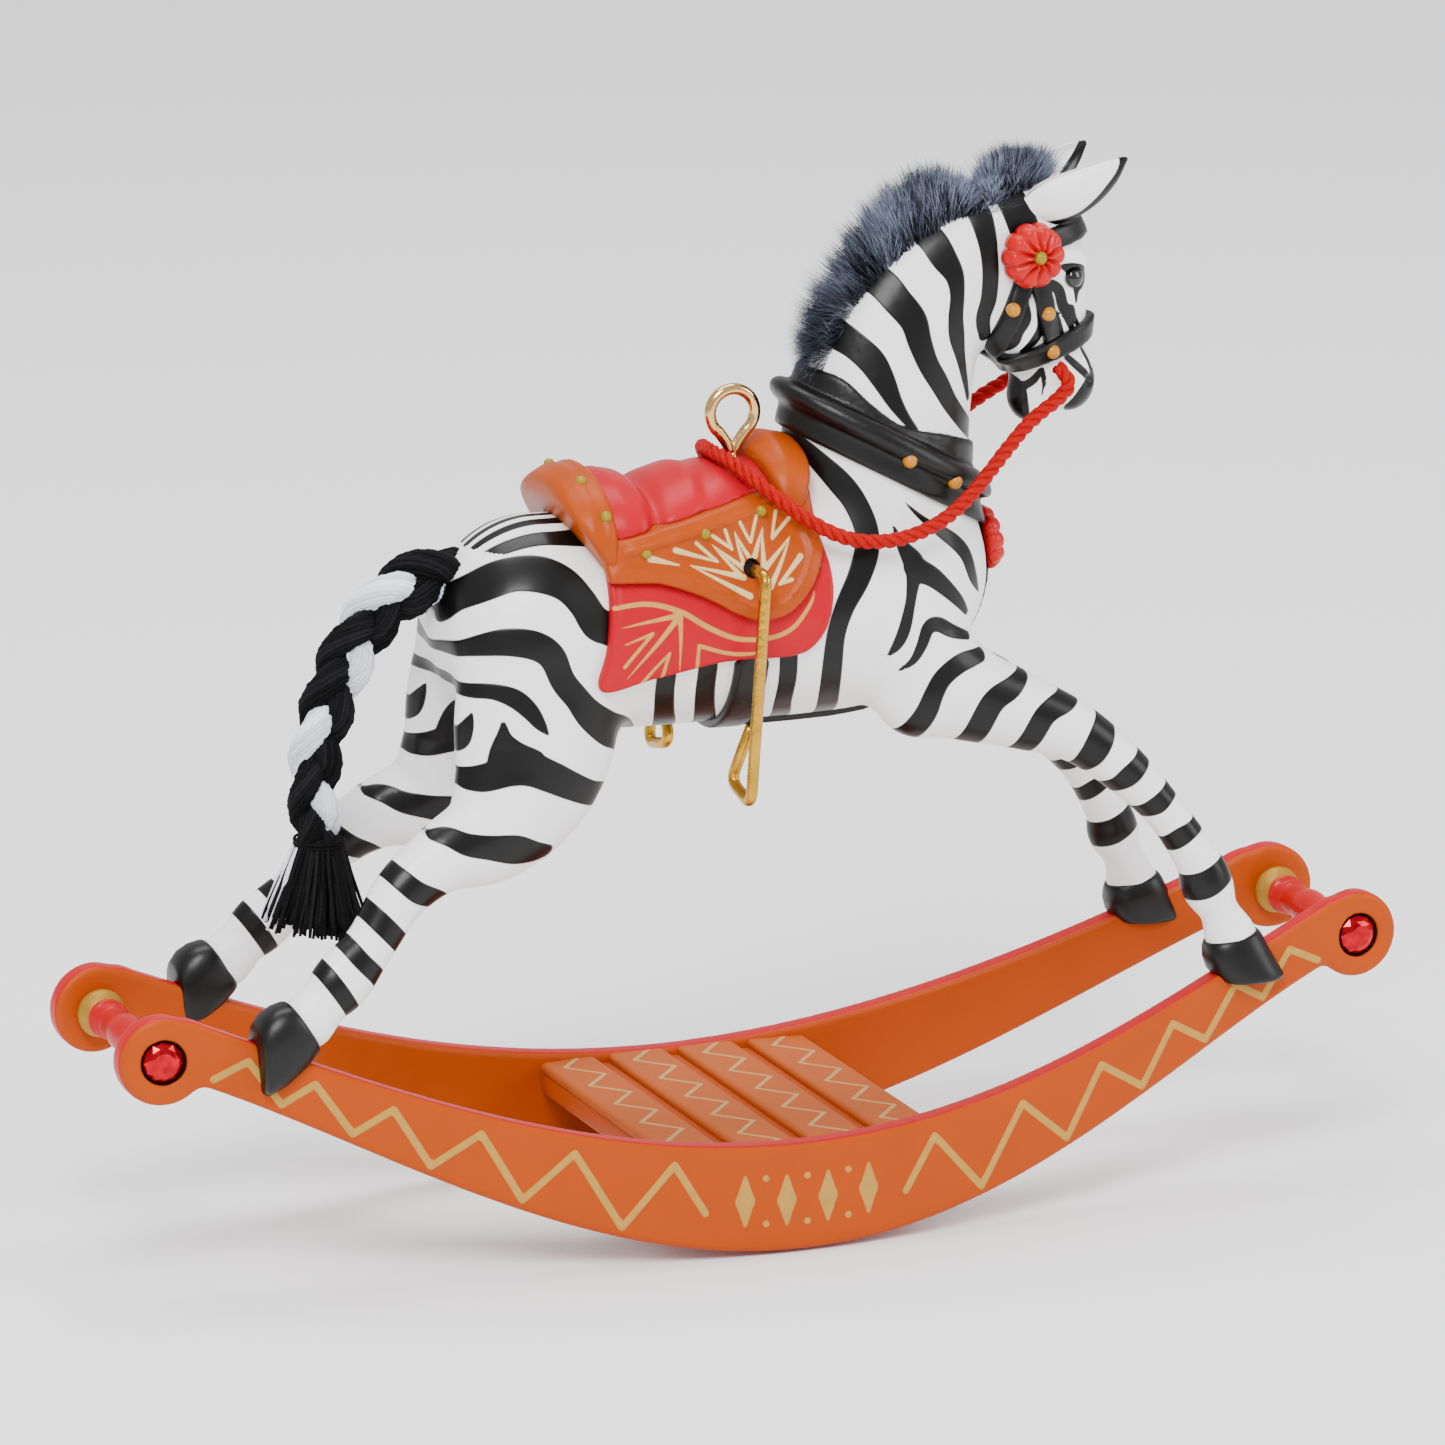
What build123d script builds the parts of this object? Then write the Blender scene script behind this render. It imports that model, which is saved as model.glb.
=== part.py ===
from build123d import *
import math
import os

# Rocking zebra ornament: a saddled zebra on two bowed rockers, with a hanging loop.
#
# Millimetres. The origin lies on the lowest line of the rockers, under the middle of the
# object. +X is the way the zebra faces, +Z is up, and the zebra's right side is at -Y.

# Rockers
ROCKER_LENGTH = 99.4
ROCKER_THICKNESS = 2.0
ROCKER_END_RADIUS = 3.2
ROCKER_END_X = ROCKER_LENGTH / 2 - ROCKER_END_RADIUS
ROCKER_END_Z = 17.25
ROCKER_END_SLOPE = 0.42          # slope of the top edge where it meets the round end
ROCKER_NOTCH_RADIUS = 1.2
ROCKER_MIDDLE_Y = 14.56          # outer face at mid-length
ROCKER_UNIT = 40.0               # length unit of the rocker curves below

# Deck
DECK_REAR_X, DECK_FRONT_X = -10.4, 10.65
DECK_BOTTOM_Z, DECK_TOP_Z = 5.6, 7.4
SLAT_COUNT = 4
SLAT_GAP = 1.1
SLAT_HEIGHT = 0.6
SLAT_WIDTH = (DECK_FRONT_X - DECK_REAR_X - (SLAT_COUNT - 1) * SLAT_GAP) / SLAT_COUNT

# Spindles, beads and jewels at the rocker ends
BARREL_RADIUS = 1.45
TENON_RADIUS = 0.7
BEAD_RADIUS = 1.75
BEAD_WIDTH = 1.5
JEWEL_RADIUS = 1.5
JEWEL_SINK = 0.6
JEWEL_HEIGHT = 0.8

# Body: a hollow casting, left solid behind CAVITY_REAR_X so that it balances at mid-length
WALL = 1.3
CAVITY_REAR_X = -18.8
BLANKET_THICKNESS = 0.55
FLAP_THICKNESS = 0.8
STRAP_THICKNESS = 0.45
COLLAR_THICKNESS = 0.9
STUD_RADIUS = 0.5

# Hanging loop
LOOP_RADIUS = 1.68
LOOP_WIRE = 0.43
LOOP_CENTRE_Z = 58.5
STEM_BOTTOM_Z = 48.5

# Stirrups
STIRRUP_WIRE = 0.43
STIRRUP_X, STIRRUP_Z = -1.4, 48.9
STIRRUP_HOLE_RADIUS = 0.8
STIRRUP_Y = 10.0
STIRRUP_STEP_Z = 32.2
STIRRUP_STEP_WIDTH = 4.0
STIRRUP_JOIN_Z = 37.7

# Reins
REIN_RADIUS = 0.55

# Torso sections: x, lowest z, highest z, half width
TORSO = [
    (-23.4, 42.0, 47.6, 2.8),
    (-22.0, 39.0, 50.2, 5.0),
    (-19.0, 36.9, 51.8, 6.8),
    (-14.0, 36.3, 52.6, 7.5),
    (-6.0, 36.2, 52.3, 7.4),
    (4.0, 36.1, 52.0, 7.4),
    (11.0, 36.4, 52.2, 7.3),
    (15.5, 37.8, 52.6, 6.5),
    (18.0, 40.3, 52.0, 4.9),
    (19.1, 43.4, 49.6, 2.6),
]

# Neck and head sections: back point (x, z), front point (x, z), half width
NECK = [
    ((3.6, 49.5), (17.6, 46.5), 6.3),
    ((4.2, 57.0), (18.0, 53.0), 5.9),
    ((5.6, 61.5), (18.0, 57.0), 5.1),
    ((8.3, 66.8), (18.2, 60.2), 4.4),
    ((12.4, 70.6), (19.8, 63.0), 3.7),
    ((16.6, 72.9), (21.4, 65.6), 3.2),
]
HEAD = [
    ((19.9, 74.4), (23.4, 74.6), 1.7),
    ((18.4, 72.0), (25.8, 71.8), 3.1),
    ((18.9, 68.0), (27.0, 68.3), 3.4),
    ((19.5, 64.6), (27.2, 65.0), 3.1),
    ((20.8, 61.4), (27.6, 62.0), 2.7),
    ((21.9, 58.8), (28.0, 59.3), 2.5),
    ((23.0, 56.5), (27.4, 57.0), 1.7),
]

# Leg sections on the zebra's right side: rear point, front point, y of the middle, half width
REAR_LEG = [
    ((-21.8, 44.0), (-14.2, 42.6), -4.2, 2.6),
    ((-23.4, 40.0), (-11.6, 38.0), -4.9, 3.0),
    ((-23.8, 35.8), (-13.2, 33.6), -5.5, 2.8),
    ((-24.6, 33.0), (-17.0, 29.9), -6.1, 2.5),
    ((-26.9, 31.4), (-22.0, 28.3), -6.7, 2.2),
    ((-29.6, 29.6), (-26.6, 26.4), -7.3, 1.9),
    ((-32.2, 25.8), (-29.3, 23.2), -8.0, 1.7),
    ((-35.2, 23.2), (-31.9, 19.6), -8.6, 1.7),
    ((-36.6, 20.5), (-34.4, 17.4), -9.0, 1.7),
]
REAR_HOOF = [
    ((-36.6, 20.6), (-34.3, 17.3), -9.0, 1.75),
    ((-38.0, 20.3), (-34.9, 15.6), -9.1, 2.0),
    ((-39.2, 18.2), (-38.0, 13.9), -9.1, 1.9),
]
FRONT_LEG = [
    ((9.4, 38.0), (14.6, 44.6), -4.4, 3.1),
    ((12.6, 35.2), (17.8, 41.0), -4.9, 2.9),
    ((18.0, 34.1), (22.0, 38.3), -5.6, 2.5),
    ((22.6, 33.2), (26.2, 35.8), -6.3, 2.2),
    ((26.2, 30.8), (29.5, 32.1), -7.0, 1.9),
    ((29.7, 27.6), (32.4, 28.5), -7.6, 1.7),
    ((32.0, 23.9), (35.0, 24.5), -8.2, 1.7),
    ((32.9, 21.2), (36.8, 21.8), -8.5, 1.7),
    ((34.9, 17.8), (38.8, 18.6), -8.9, 1.7),
]
FRONT_HOOF = [
    ((34.8, 17.7), (39.0, 18.6), -8.9, 1.75),
    ((34.9, 16.6), (40.0, 16.9), -9.1, 2.0),
    ((36.0, 15.3), (40.9, 15.2), -9.2, 2.1),
]

# Saddle sections: x, lowest z, highest z, half width
SEAT = [
    (-11.6, 48.0, 55.0, 4.4),
    (-9.6, 48.0, 55.2, 5.4),
    (-7.4, 48.0, 54.2, 5.8),
    (-4.4, 48.0, 55.1, 5.8),
    (-1.0, 48.0, 54.9, 5.3),
    (2.4, 48.0, 55.4, 4.4),
]

# Reins, right side: mouth, bend under the lip, hanging stretch, over the saddle to the loop
REIN_HALF = [
    (24.0, -3.4, 60.9),
    (25.0, -3.9, 59.9),
    (24.0, -4.2, 58.8),
    (21.4, -4.6, 57.4),
    (18.6, -5.7, 55.1),
    (15.9, -7.0, 52.9),
    (13.2, -8.0, 51.3),
    (10.3, -8.4, 50.4),
    (7.5, -8.3, 50.2),
    (5.0, -7.9, 50.8),
    (2.4, -7.0, 52.4),
    (0.1, -5.5, 54.4),
    (-1.3, -2.8, 55.9),
    (-1.75, -0.9, 56.1),
]

# Tail: centre line of the braid, then x, z and radius of the tassel
BRAID = [(-20.6, 48.4), (-23.6, 48.5), (-26.6, 47.2), (-28.9, 44.4), (-30.7, 40.8),
         (-31.9, 36.8), (-32.2, 33.0), (-31.8, 29.6)]
BRAID_RADIUS = 3.0
TASSEL = [(-31.8, 28.4, 2.6), (-31.8, 26.6, 3.2), (-31.8, 24.4, 4.1), (-31.8, 22.6, 4.3)]
TIE_TOP_Z, TIE_BOTTOM_Z, TIE_RADIUS = 29.6, 28.4, 2.7

# Mane sections: point in the neck (x, z), point at the hair tips, half width
MANE = [
    ((7.0, 61.2), (4.7, 61.9), 1.5),
    ((8.8, 65.0), (5.3, 66.4), 1.9),
    ((11.2, 68.4), (8.2, 71.2), 2.1),
    ((14.4, 70.6), (12.6, 74.8), 2.1),
    ((17.6, 71.6), (17.2, 76.0), 1.9),
    ((19.4, 72.4), (19.4, 75.2), 1.4),
]
FORELOCK = [
    ((20.6, 73.6), (20.4, 76.2), 1.0),
    ((22.3, 74.0), (22.1, 77.3), 1.5),
    ((24.3, 73.6), (24.6, 76.4), 1.0),
]

# Ear: x, y, z of the section centres, half reach and half thickness
EAR = [
    (21.9, -2.0, 72.2, 1.2, 0.8),
    (24.0, -2.7, 72.9, 1.75, 0.75),
    (26.6, -3.3, 74.0, 1.45, 0.55),
    (29.0, -3.5, 75.6, 0.3, 0.25),
]
EYE_CENTRE, EYE_RADIUS = (25.2, -2.75, 67.4), 0.85

# Saddle outlines in the XZ plane
BLANKET_OUTLINE = [
    (-12.4, 56), (-12.1, 48), (-13.0, 40.9), (-8.3, 41.4), (-3.5, 42.2), (1.4, 42.2), (3.2, 42.8),
    (4.4, 44.6), (4.9, 47.5), (4.5, 50.6), (3.6, 56)]
FLAP_OUTLINE = [
    (-12.0, 56), (-12.3, 49.0), (-8.3, 48.3), (-5.1, 47.1), (-2.8, 45.8), (-0.9, 45.2), (1.3, 45.7),
    (3.2, 47.6), (4.2, 49.7), (4.0, 51.3), (3.2, 56)]
CANTLE = [
    (-14.8, 46.0, 55.2, 6.6),
    (-13.2, 46.0, 56.0, 7.3),
    (-11.4, 46.0, 55.6, 7.2),
]
POMMEL = [
    (1.6, 48.0, 56.9, 4.9),
    (3.3, 48.0, 57.5, 5.3),
    (4.7, 48.0, 56.4, 5.5),
    (5.6, 48.0, 54.0, 5.3),
]

# Straps: start and end in the XZ plane, and width
COLLAR_LINE, COLLAR_WIDTH = ((0.5, 61.1), (21.0, 50.2)), 2.9
GIRTH_X, GIRTH_WIDTH = -1.0, 3.6
BREAST_HALF_WIDTH = 0.9
BREAST_OUTLINE = [(-1.5, 30), (24, 30), (24, 50.5), (16.0, 50.5), (16.0, 41.0), (-1.5, 41.0)]
BRIDLE_STRAPS = {
    "noseband": ((18.0, 59.9), (30.0, 64.0), 1.7),
    "cheek_strap": ((22.2, 68.5), (24.0, 62.5), 1.5),
    "throat_strap": ((22.0, 68.5), (18.8, 61.0), 1.5),
    "browband": ((21.8, 69.9), (29.0, 71.2), 1.6),
}

# Rosettes and studs: x and z on the right side
ROSETTE_CENTRE, ROSETTE_RADIUS, ROSETTE_THICKNESS = (21.9, 69.3), 2.5, 1.3
CHEST_ROSETTE_CENTRE = (19.9, 48.0)
BUTTON_RADIUS = 0.6
BRIDLE_STUDS = [(20.4, 65.4), (23.2, 64.9), (23.9, 61.9)]
COLLAR_STUDS = [(11.8, 55.3), (15.5, 53.3)]
SADDLE_STUDS = [(-9.4, 50.3), (-5.0, 50.9), (-0.2, 51.6)]

NODES = {}


def keep(name, shape):
    """Record a finished sub-part under its node name."""
    NODES[name] = shape
    return shape


def mirror_y(shape):
    return mirror(shape, about=Plane.XZ)


def pair(name, shape):
    """Keep a right-hand piece and its mirror image on the left."""
    keep(name + "_right", shape)
    keep(name + "_left", mirror_y(shape))
    return shape, NODES[name + "_left"]


def oval_between(back, front, y, half_width, grow=0.0):
    """An upright oval face whose long or short axis runs from back to front in the XZ plane."""
    dx, dz = front[0] - back[0], front[1] - back[1]
    reach = math.hypot(dx, dz)
    centre = ((back[0] + front[0]) / 2, y, (back[1] + front[1]) / 2)
    plane = Plane(origin=centre, x_dir=(dx, 0, dz), z_dir=(-dz, 0, dx))
    return plane * Ellipse(reach / 2 + grow, half_width + grow)


def torso(grow=0.0):
    """The barrel of the body, grown outwards by a skin thickness."""
    faces = []
    for x, low, high, half_width in TORSO:
        reach = x + math.copysign(grow, x) if x in (TORSO[0][0], TORSO[-1][0]) else x
        faces.append(oval_between((reach, low - grow), (reach, high + grow), 0, half_width + grow))
    return loft(faces)


def tube_of(sections, grow=0.0):
    """A neck or head: smooth loft through ovals given by back point, front point, half width."""
    return loft([oval_between(back, front, 0, width, grow) for back, front, width in sections])


def limb(sections):
    return loft([oval_between(back, front, y, width) for back, front, y, width in sections])


def side_block(points, y_near=1.0, y_far=14.0):
    """A slab with an outline in the XZ plane, covering the right side from y_near to y_far."""
    outline = Plane.XZ * make_face(Polyline(*points, close=True))
    return Pos(0, -y_near, 0) * extrude(outline, amount=y_far - y_near, dir=(0, -1, 0))


def band_block(start, end, width, half_depth=12.0):
    """A slab of even width along a line in the XZ plane, through the whole body in Y."""
    dx, dz = end[0] - start[0], end[1] - start[1]
    length = math.hypot(dx, dz)
    middle = ((start[0] + end[0]) / 2, 0, (start[1] + end[1]) / 2)
    return Plane(origin=middle, x_dir=(dx, 0, dz), z_dir=(0, -1, 0)) * Box(length, width, 2 * half_depth)


def stud(x, y, z, radius=STUD_RADIUS):
    return Pos(x, y, z) * Sphere(radius)


def rocker_top(x):
    s = x / ROCKER_UNIT
    return 7.97 + 11.84 * s ** 2 - 1.66 * s ** 4


def rocker_bottom(x):
    s = x / ROCKER_UNIT
    return 17.98 * s ** 2 - 4.34 * s ** 4


def rocker_face(x):
    """Distance of the rocker's outer face from the middle plane."""
    s = x / ROCKER_UNIT
    return ROCKER_MIDDLE_Y - 7.39 * s ** 2 + 2.14 * s ** 4


def rocker_blank():
    """Right rocker: the side outline cut from a board that is bowed in plan."""
    stations = [ROCKER_UNIT * i / 5 for i in range(-5, 6)]
    slope = math.atan(ROCKER_END_SLOPE)
    meet_x = ROCKER_END_X - ROCKER_END_RADIUS * math.sin(slope)
    meet_z = ROCKER_END_Z + ROCKER_END_RADIUS * math.cos(slope)
    top_points = [(x, rocker_top(x)) for x in stations]
    top = Spline((-meet_x, meet_z), *top_points, (meet_x, meet_z))
    bottom = Spline(*[(x * meet_x / ROCKER_UNIT, rocker_bottom(x * meet_x / ROCKER_UNIT)) for x in stations])
    rear = Line(bottom @ 0, top @ 0)
    front = Line(bottom @ 1, top @ 1)
    outline = make_face([top, front, bottom, rear])
    for x in (-ROCKER_END_X, ROCKER_END_X):
        outline += Pos(x, ROCKER_END_Z) * Circle(ROCKER_END_RADIUS)
    notches = outline.vertices().filter_by(lambda v: v.Y < ROCKER_END_Z and abs(v.X) < ROCKER_END_X - 1)
    outline = fillet(notches, ROCKER_NOTCH_RADIUS)
    board = Pos(0, -4, 0) * extrude(Plane.XZ * outline, amount=14, dir=(0, -1, 0))

    plan_x = [ROCKER_LENGTH * 0.52 * i / 5 for i in range(-5, 6)]
    outer = Spline(*[(x, -rocker_face(x)) for x in plan_x])
    inner = Spline(*[(x, ROCKER_THICKNESS - rocker_face(x)) for x in plan_x])
    wall = make_face([outer, Line(outer @ 1, inner @ 1), inner, Line(outer @ 0, inner @ 0)])
    return board & extrude(wall, amount=30)


def end_frame(x, side=-1):
    """Plane on a rocker's outer face at one of its ends, facing outwards."""
    step = 0.5
    slope = (rocker_face(x + step) - rocker_face(x - step)) / (2 * step)
    normal = Vector(-slope, side, 0)
    return Plane(origin=(x, side * rocker_face(x), ROCKER_END_Z), x_dir=(0, 0, 1), z_dir=normal)


def build_jewels():
    """Round faceted stones: a girdle sunk in the wood and a bevelled crown."""
    jewels = []
    for place, x in (("front", ROCKER_END_X), ("rear", -ROCKER_END_X)):
        plane = end_frame(x)
        girdle = plane * Pos(0, 0, -JEWEL_SINK / 2) * Cylinder(JEWEL_RADIUS, JEWEL_SINK)
        crown = plane * Pos(0, 0, JEWEL_HEIGHT / 2) * Cone(JEWEL_RADIUS, JEWEL_RADIUS * 0.6, JEWEL_HEIGHT)
        jewels.append(pair("jewel_" + place, girdle + crown)[0])
    return jewels


def build_spindles(rocker):
    """Turned cross bars with a tenon at each end, and a bead between bar and rocker."""
    for place, x in (("front", ROCKER_END_X), ("rear", -ROCKER_END_X)):
        inner_y = rocker_face(x) - ROCKER_THICKNESS
        half_bar = inner_y - BEAD_WIDTH - 0.1
        profile = [
            (0, -half_bar), (BARREL_RADIUS * 0.72, -half_bar),
            (BARREL_RADIUS, -half_bar * 0.72), (BARREL_RADIUS * 0.86, -half_bar * 0.5),
            (BARREL_RADIUS, 0),
            (BARREL_RADIUS * 0.86, half_bar * 0.5), (BARREL_RADIUS, half_bar * 0.72),
            (BARREL_RADIUS * 0.72, half_bar), (0, half_bar),
        ]
        turned = revolve(make_face(Polyline(*profile, close=True)), axis=Axis.Y)
        tenon = Rot(90, 0, 0) * Cylinder(TENON_RADIUS, 2 * (inner_y + 0.8))
        bar = Pos(x, 0, ROCKER_END_Z) * (turned + tenon)
        keep("spindle_" + place, bar)
        bead = Pos(x, -(half_bar + BEAD_WIDTH / 2 + 0.2), ROCKER_END_Z) * Rot(90, 0, 0) * (
            Cylinder(BEAD_RADIUS, BEAD_WIDTH + 0.4))
        bead = bead - rocker - bar
        pair("bead_" + place, bead)
    return NODES["spindle_front"] + NODES["spindle_rear"]


def build_deck(rockers):
    """Board between the rockers with raised slats across it."""
    width = 2 * (ROCKER_MIDDLE_Y - 0.6 * ROCKER_THICKNESS)
    middle_x = (DECK_REAR_X + DECK_FRONT_X) / 2
    board = Pos(middle_x, 0, (DECK_BOTTOM_Z + DECK_TOP_Z) / 2) * Box(
        DECK_FRONT_X - DECK_REAR_X, width, DECK_TOP_Z - DECK_BOTTOM_Z)
    keep("deck_board", board - rockers[0] - rockers[1])
    for number in range(SLAT_COUNT):
        x = DECK_REAR_X + SLAT_WIDTH / 2 + number * (SLAT_WIDTH + SLAT_GAP)
        slat = Pos(x, 0, DECK_TOP_Z + SLAT_HEIGHT / 2) * Box(SLAT_WIDTH, width, SLAT_HEIGHT)
        keep("deck_slat_%d" % (number + 1), slat - rockers[0] - rockers[1])


def stirrup():
    """Right stirrup: one bent wire with a pin end in the flap, a long drop and a triangular step."""
    pin_in, drop = -7.9, -STIRRUP_Y
    inner = drop + STIRRUP_STEP_WIDTH
    route = FilletPolyline(
        (STIRRUP_X, pin_in, STIRRUP_Z),
        (STIRRUP_X, drop, STIRRUP_Z),
        (STIRRUP_X, drop, STIRRUP_STEP_Z),
        (STIRRUP_X, inner, STIRRUP_STEP_Z + 0.9),
        (STIRRUP_X, drop + 2 * STIRRUP_WIRE + 0.12, STIRRUP_JOIN_Z),
        radius=0.9)
    start = Plane(origin=route @ 0, z_dir=route % 0)
    return sweep(start * Circle(STIRRUP_WIRE), path=route)


def hanging_loop():
    """Screw eye: a ring in the XZ plane on a straight stem."""
    ring = Pos(0, 0, LOOP_CENTRE_Z) * Rot(90, 0, 0) * Torus(LOOP_RADIUS, LOOP_WIRE)
    stem_top = LOOP_CENTRE_Z - LOOP_RADIUS
    stem = Pos(0, 0, (stem_top + STEM_BOTTOM_Z) / 2) * Cylinder(LOOP_WIRE, stem_top - STEM_BOTTOM_Z)
    return ring + stem


def rein_route():
    """From the right side of the mouth, behind the hanging loop's stem, to the left side."""
    return REIN_HALF + [(x, -y, z) for x, y, z in reversed(REIN_HALF)]


def corner_radii(points, print_as=None):
    """Largest arc that the two runs at each corner allow."""
    radii = []
    for before, here, after in zip(points, points[1:], points[2:]):
        into = Vector(*here) - Vector(*before)
        out = Vector(*after) - Vector(*here)
        turn = math.radians(into.get_angle(out))
        radii.append(0.45 * min(into.length, out.length) / math.tan(turn / 2))
    if print_as:
        print(print_as, "radii", [round(r, 2) for r in radii])
    return radii


def round_tube(points, radius, name):
    route = FilletPolyline(*points, radius=corner_radii(points, name))
    start = Plane(origin=route @ 0, z_dir=route % 0)
    tube = sweep(start * Circle(radius), path=route)
    print(name, "length %.2f volume %.3f section x length %.3f" % (
        route.length, tube.volume, math.pi * radius ** 2 * route.length))
    return tube


def surface_y(solid, x, z):
    """Right-hand y where a line along Y through (x, z) leaves a solid."""
    inside = Line((x, 0, z), (x, -15, z)).edge() & solid
    return min(vertex.Y for vertex in inside.vertices())


def largest(shape):
    """The biggest solid of a cut, without the slivers beside it."""
    return max(shape.solids(), key=lambda solid: solid.volume)


def leaf(points):
    """An ear: thin ovals from the root to the tip."""
    faces = []
    for x, y, z, reach, thick in points:
        plane = Plane(origin=(x, y, z), x_dir=(-0.45, 0, 0.9), z_dir=(0.9, -0.1, 0.45))
        faces.append(plane * Ellipse(reach, thick))
    return loft(faces)


def build_rockers():
    """Both rockers, with seats for the jewels and the spindles' tenons."""
    blank = rocker_blank()
    spindles = build_spindles(blank)
    for jewel in build_jewels():
        blank = blank - jewel
    return pair("rocker", blank - spindles)


def build_body():
    """Hollow torso in two halves, with neck, head, ears and eyes."""
    skin, head = torso(), tube_of(HEAD)
    cavity = torso(-WALL) & (Pos(CAVITY_REAR_X + 30, 0, 45) * Box(60, 40, 40))
    for place, side in (("right", -1), ("left", 1)):
        half = Pos(0, side * 10, 45) * Box(60, 20, 40)
        keep("torso_" + place, (skin & half) - cavity)
    # Each eye is turned so that its seam stays clear of the cheek it is set into.
    pair("eye", Pos(*EYE_CENTRE) * Rot(90, 0, 37) * Sphere(EYE_RADIUS))
    ear = leaf(EAR) - head
    pair("ear", largest(ear))
    keep("head", largest(head - [NODES["eye_right"], NODES["eye_left"]]))
    keep("neck", largest(tube_of(NECK) - skin - head - tube_of(NECK, -WALL)))
    return skin, head


def build_legs(skin, rockers):
    """Four legs that run into the torso, and hooves that straddle the rockers."""
    for name, leg_sections, hoof_sections in (
            ("rear", REAR_LEG, REAR_HOOF), ("front", FRONT_LEG, FRONT_HOOF)):
        leg = largest(limb(leg_sections) - skin - rockers[0])
        pair(name + "_leg", leg)
        pair(name + "_hoof", largest(limb(hoof_sections) - leg - rockers[0]))


def build_tack(skin):
    """Blanket, flaps, padded seat, cantle and pommel, and the straps of the harness."""
    blanket_skin = torso(BLANKET_THICKNESS)
    flap_skin = torso(BLANKET_THICKNESS + FLAP_THICKNESS)
    neck = NODES["neck"]
    loop = NODES["hanging_loop"]
    blanket = (blanket_skin & side_block(BLANKET_OUTLINE, -14, 14)) - skin - neck
    keep("saddle_blanket", largest(blanket - loop))
    hole = Pos(STIRRUP_X, -9, STIRRUP_Z) * Rot(90, 0, 0) * Cylinder(STIRRUP_HOLE_RADIUS, 8)
    flap = largest((flap_skin & side_block(FLAP_OUTLINE, 3.0, 14)) - blanket_skin - neck) - hole
    flaps = pair("saddle_flap", largest(flap))
    under = blanket_skin + flaps[0] + flaps[1] + neck

    cantle = arch(CANTLE) - under - skin
    pommel = arch(POMMEL) - under
    keep("saddle_cantle", largest(cantle))
    keep("saddle_pommel", largest(pommel))
    seat = arch(SEAT) - under - NODES["saddle_cantle"] - NODES["saddle_pommel"] - loop
    keep("saddle_seat", largest(seat))

    grown = tube_of(NECK, COLLAR_THICKNESS) + torso(COLLAR_THICKNESS)
    # The neck is hollow, so its filled outline is cut away: the collar is only the ring outside it.
    collar = grown & band_block(*COLLAR_LINE, COLLAR_WIDTH)
    collar = collar - tube_of(NECK) - skin - NODES["saddle_pommel"]
    keep("collar", largest(collar))
    strap_skin = torso(STRAP_THICKNESS)
    girth = strap_skin & (Pos(GIRTH_X, 0, 36) * Box(GIRTH_WIDTH, 30, 14))
    keep("girth", largest(girth - skin - NODES["saddle_blanket"]))
    breast = strap_skin & side_block(BREAST_OUTLINE, -BREAST_HALF_WIDTH, BREAST_HALF_WIDTH)
    breast = breast - skin - neck - NODES["girth"] - NODES["collar"]
    keep("breast_strap", largest(breast))


def arch(sections):
    """A saddle piece: loft of upright ovals given by x, lowest z, highest z and half width."""
    return loft([oval_between((x, low), (x, high), 0, width) for x, low, high, width in sections])


def build_bridle(head):
    """Rosettes on the cheeks, and straps round the muzzle, cheeks, throat and brow."""
    x, z = ROSETTE_CENTRE
    rosette = Pos(x, -3.9, z) * Rot(90, 0, 0) * Cylinder(ROSETTE_RADIUS, ROSETTE_THICKNESS)
    pair("cheek_rosette", largest(rosette - head - NODES["ear_right"]))
    names = ["neck", "cheek_rosette_right", "cheek_rosette_left", "ear_right", "ear_left",
             "eye_right", "eye_left"]
    grown = tube_of(HEAD, STRAP_THICKNESS)
    for name, (start, end, width) in BRIDLE_STRAPS.items():
        strap = (grown & band_block(start, end, width)) - head
        for other in names:
            strap = strap - NODES[other]
        keep(name, strap)
        names.append(name)


def build_studs(skin, head):
    """Metal studs, in one group for each strap or saddle edge."""
    groups = {
        "bridle_studs": (BRIDLE_STUDS, ["noseband", "cheek_strap", "throat_strap"], head),
        "collar_studs": (COLLAR_STUDS, ["collar"], NODES["neck"] + skin),
        "saddle_studs": (SADDLE_STUDS, ["saddle_flap_right", "saddle_seat"], torso(BLANKET_THICKNESS)),
    }
    for name, (places, carriers, core) in groups.items():
        backing = core
        for carrier in carriers:
            backing = backing + NODES[carrier]
        heads = []
        for x, z in places:
            dome = stud(x, surface_y(backing, x, z), z) - backing
            heads += [largest(dome), mirror_y(largest(dome))]
        keep(name, Compound(children=heads))


def build_buttons(skin):
    """Flower on the chest, and the round buttons in the middle of each flower."""
    x, z = CHEST_ROSETTE_CENTRE
    tilt = Rot(0, 80, 0)
    flower = Pos(x, 0, z) * tilt * Cylinder(ROSETTE_RADIUS, 1.0)
    flower = flower - skin - NODES["breast_strap"] - NODES["collar"] - NODES["neck"]
    keep("chest_rosette", largest(flower))
    button = Pos(x + 0.45, 0, z + 0.08) * Sphere(BUTTON_RADIUS) - NODES["chest_rosette"]
    cheek_x, cheek_z = ROSETTE_CENTRE
    cheek = Pos(cheek_x, -3.9 - ROSETTE_THICKNESS / 2, cheek_z) * Sphere(BUTTON_RADIUS)
    cheek = largest(cheek - NODES["cheek_rosette_right"])
    keep("rosette_buttons", Compound(children=[largest(button), cheek, mirror_y(cheek)]))


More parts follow.
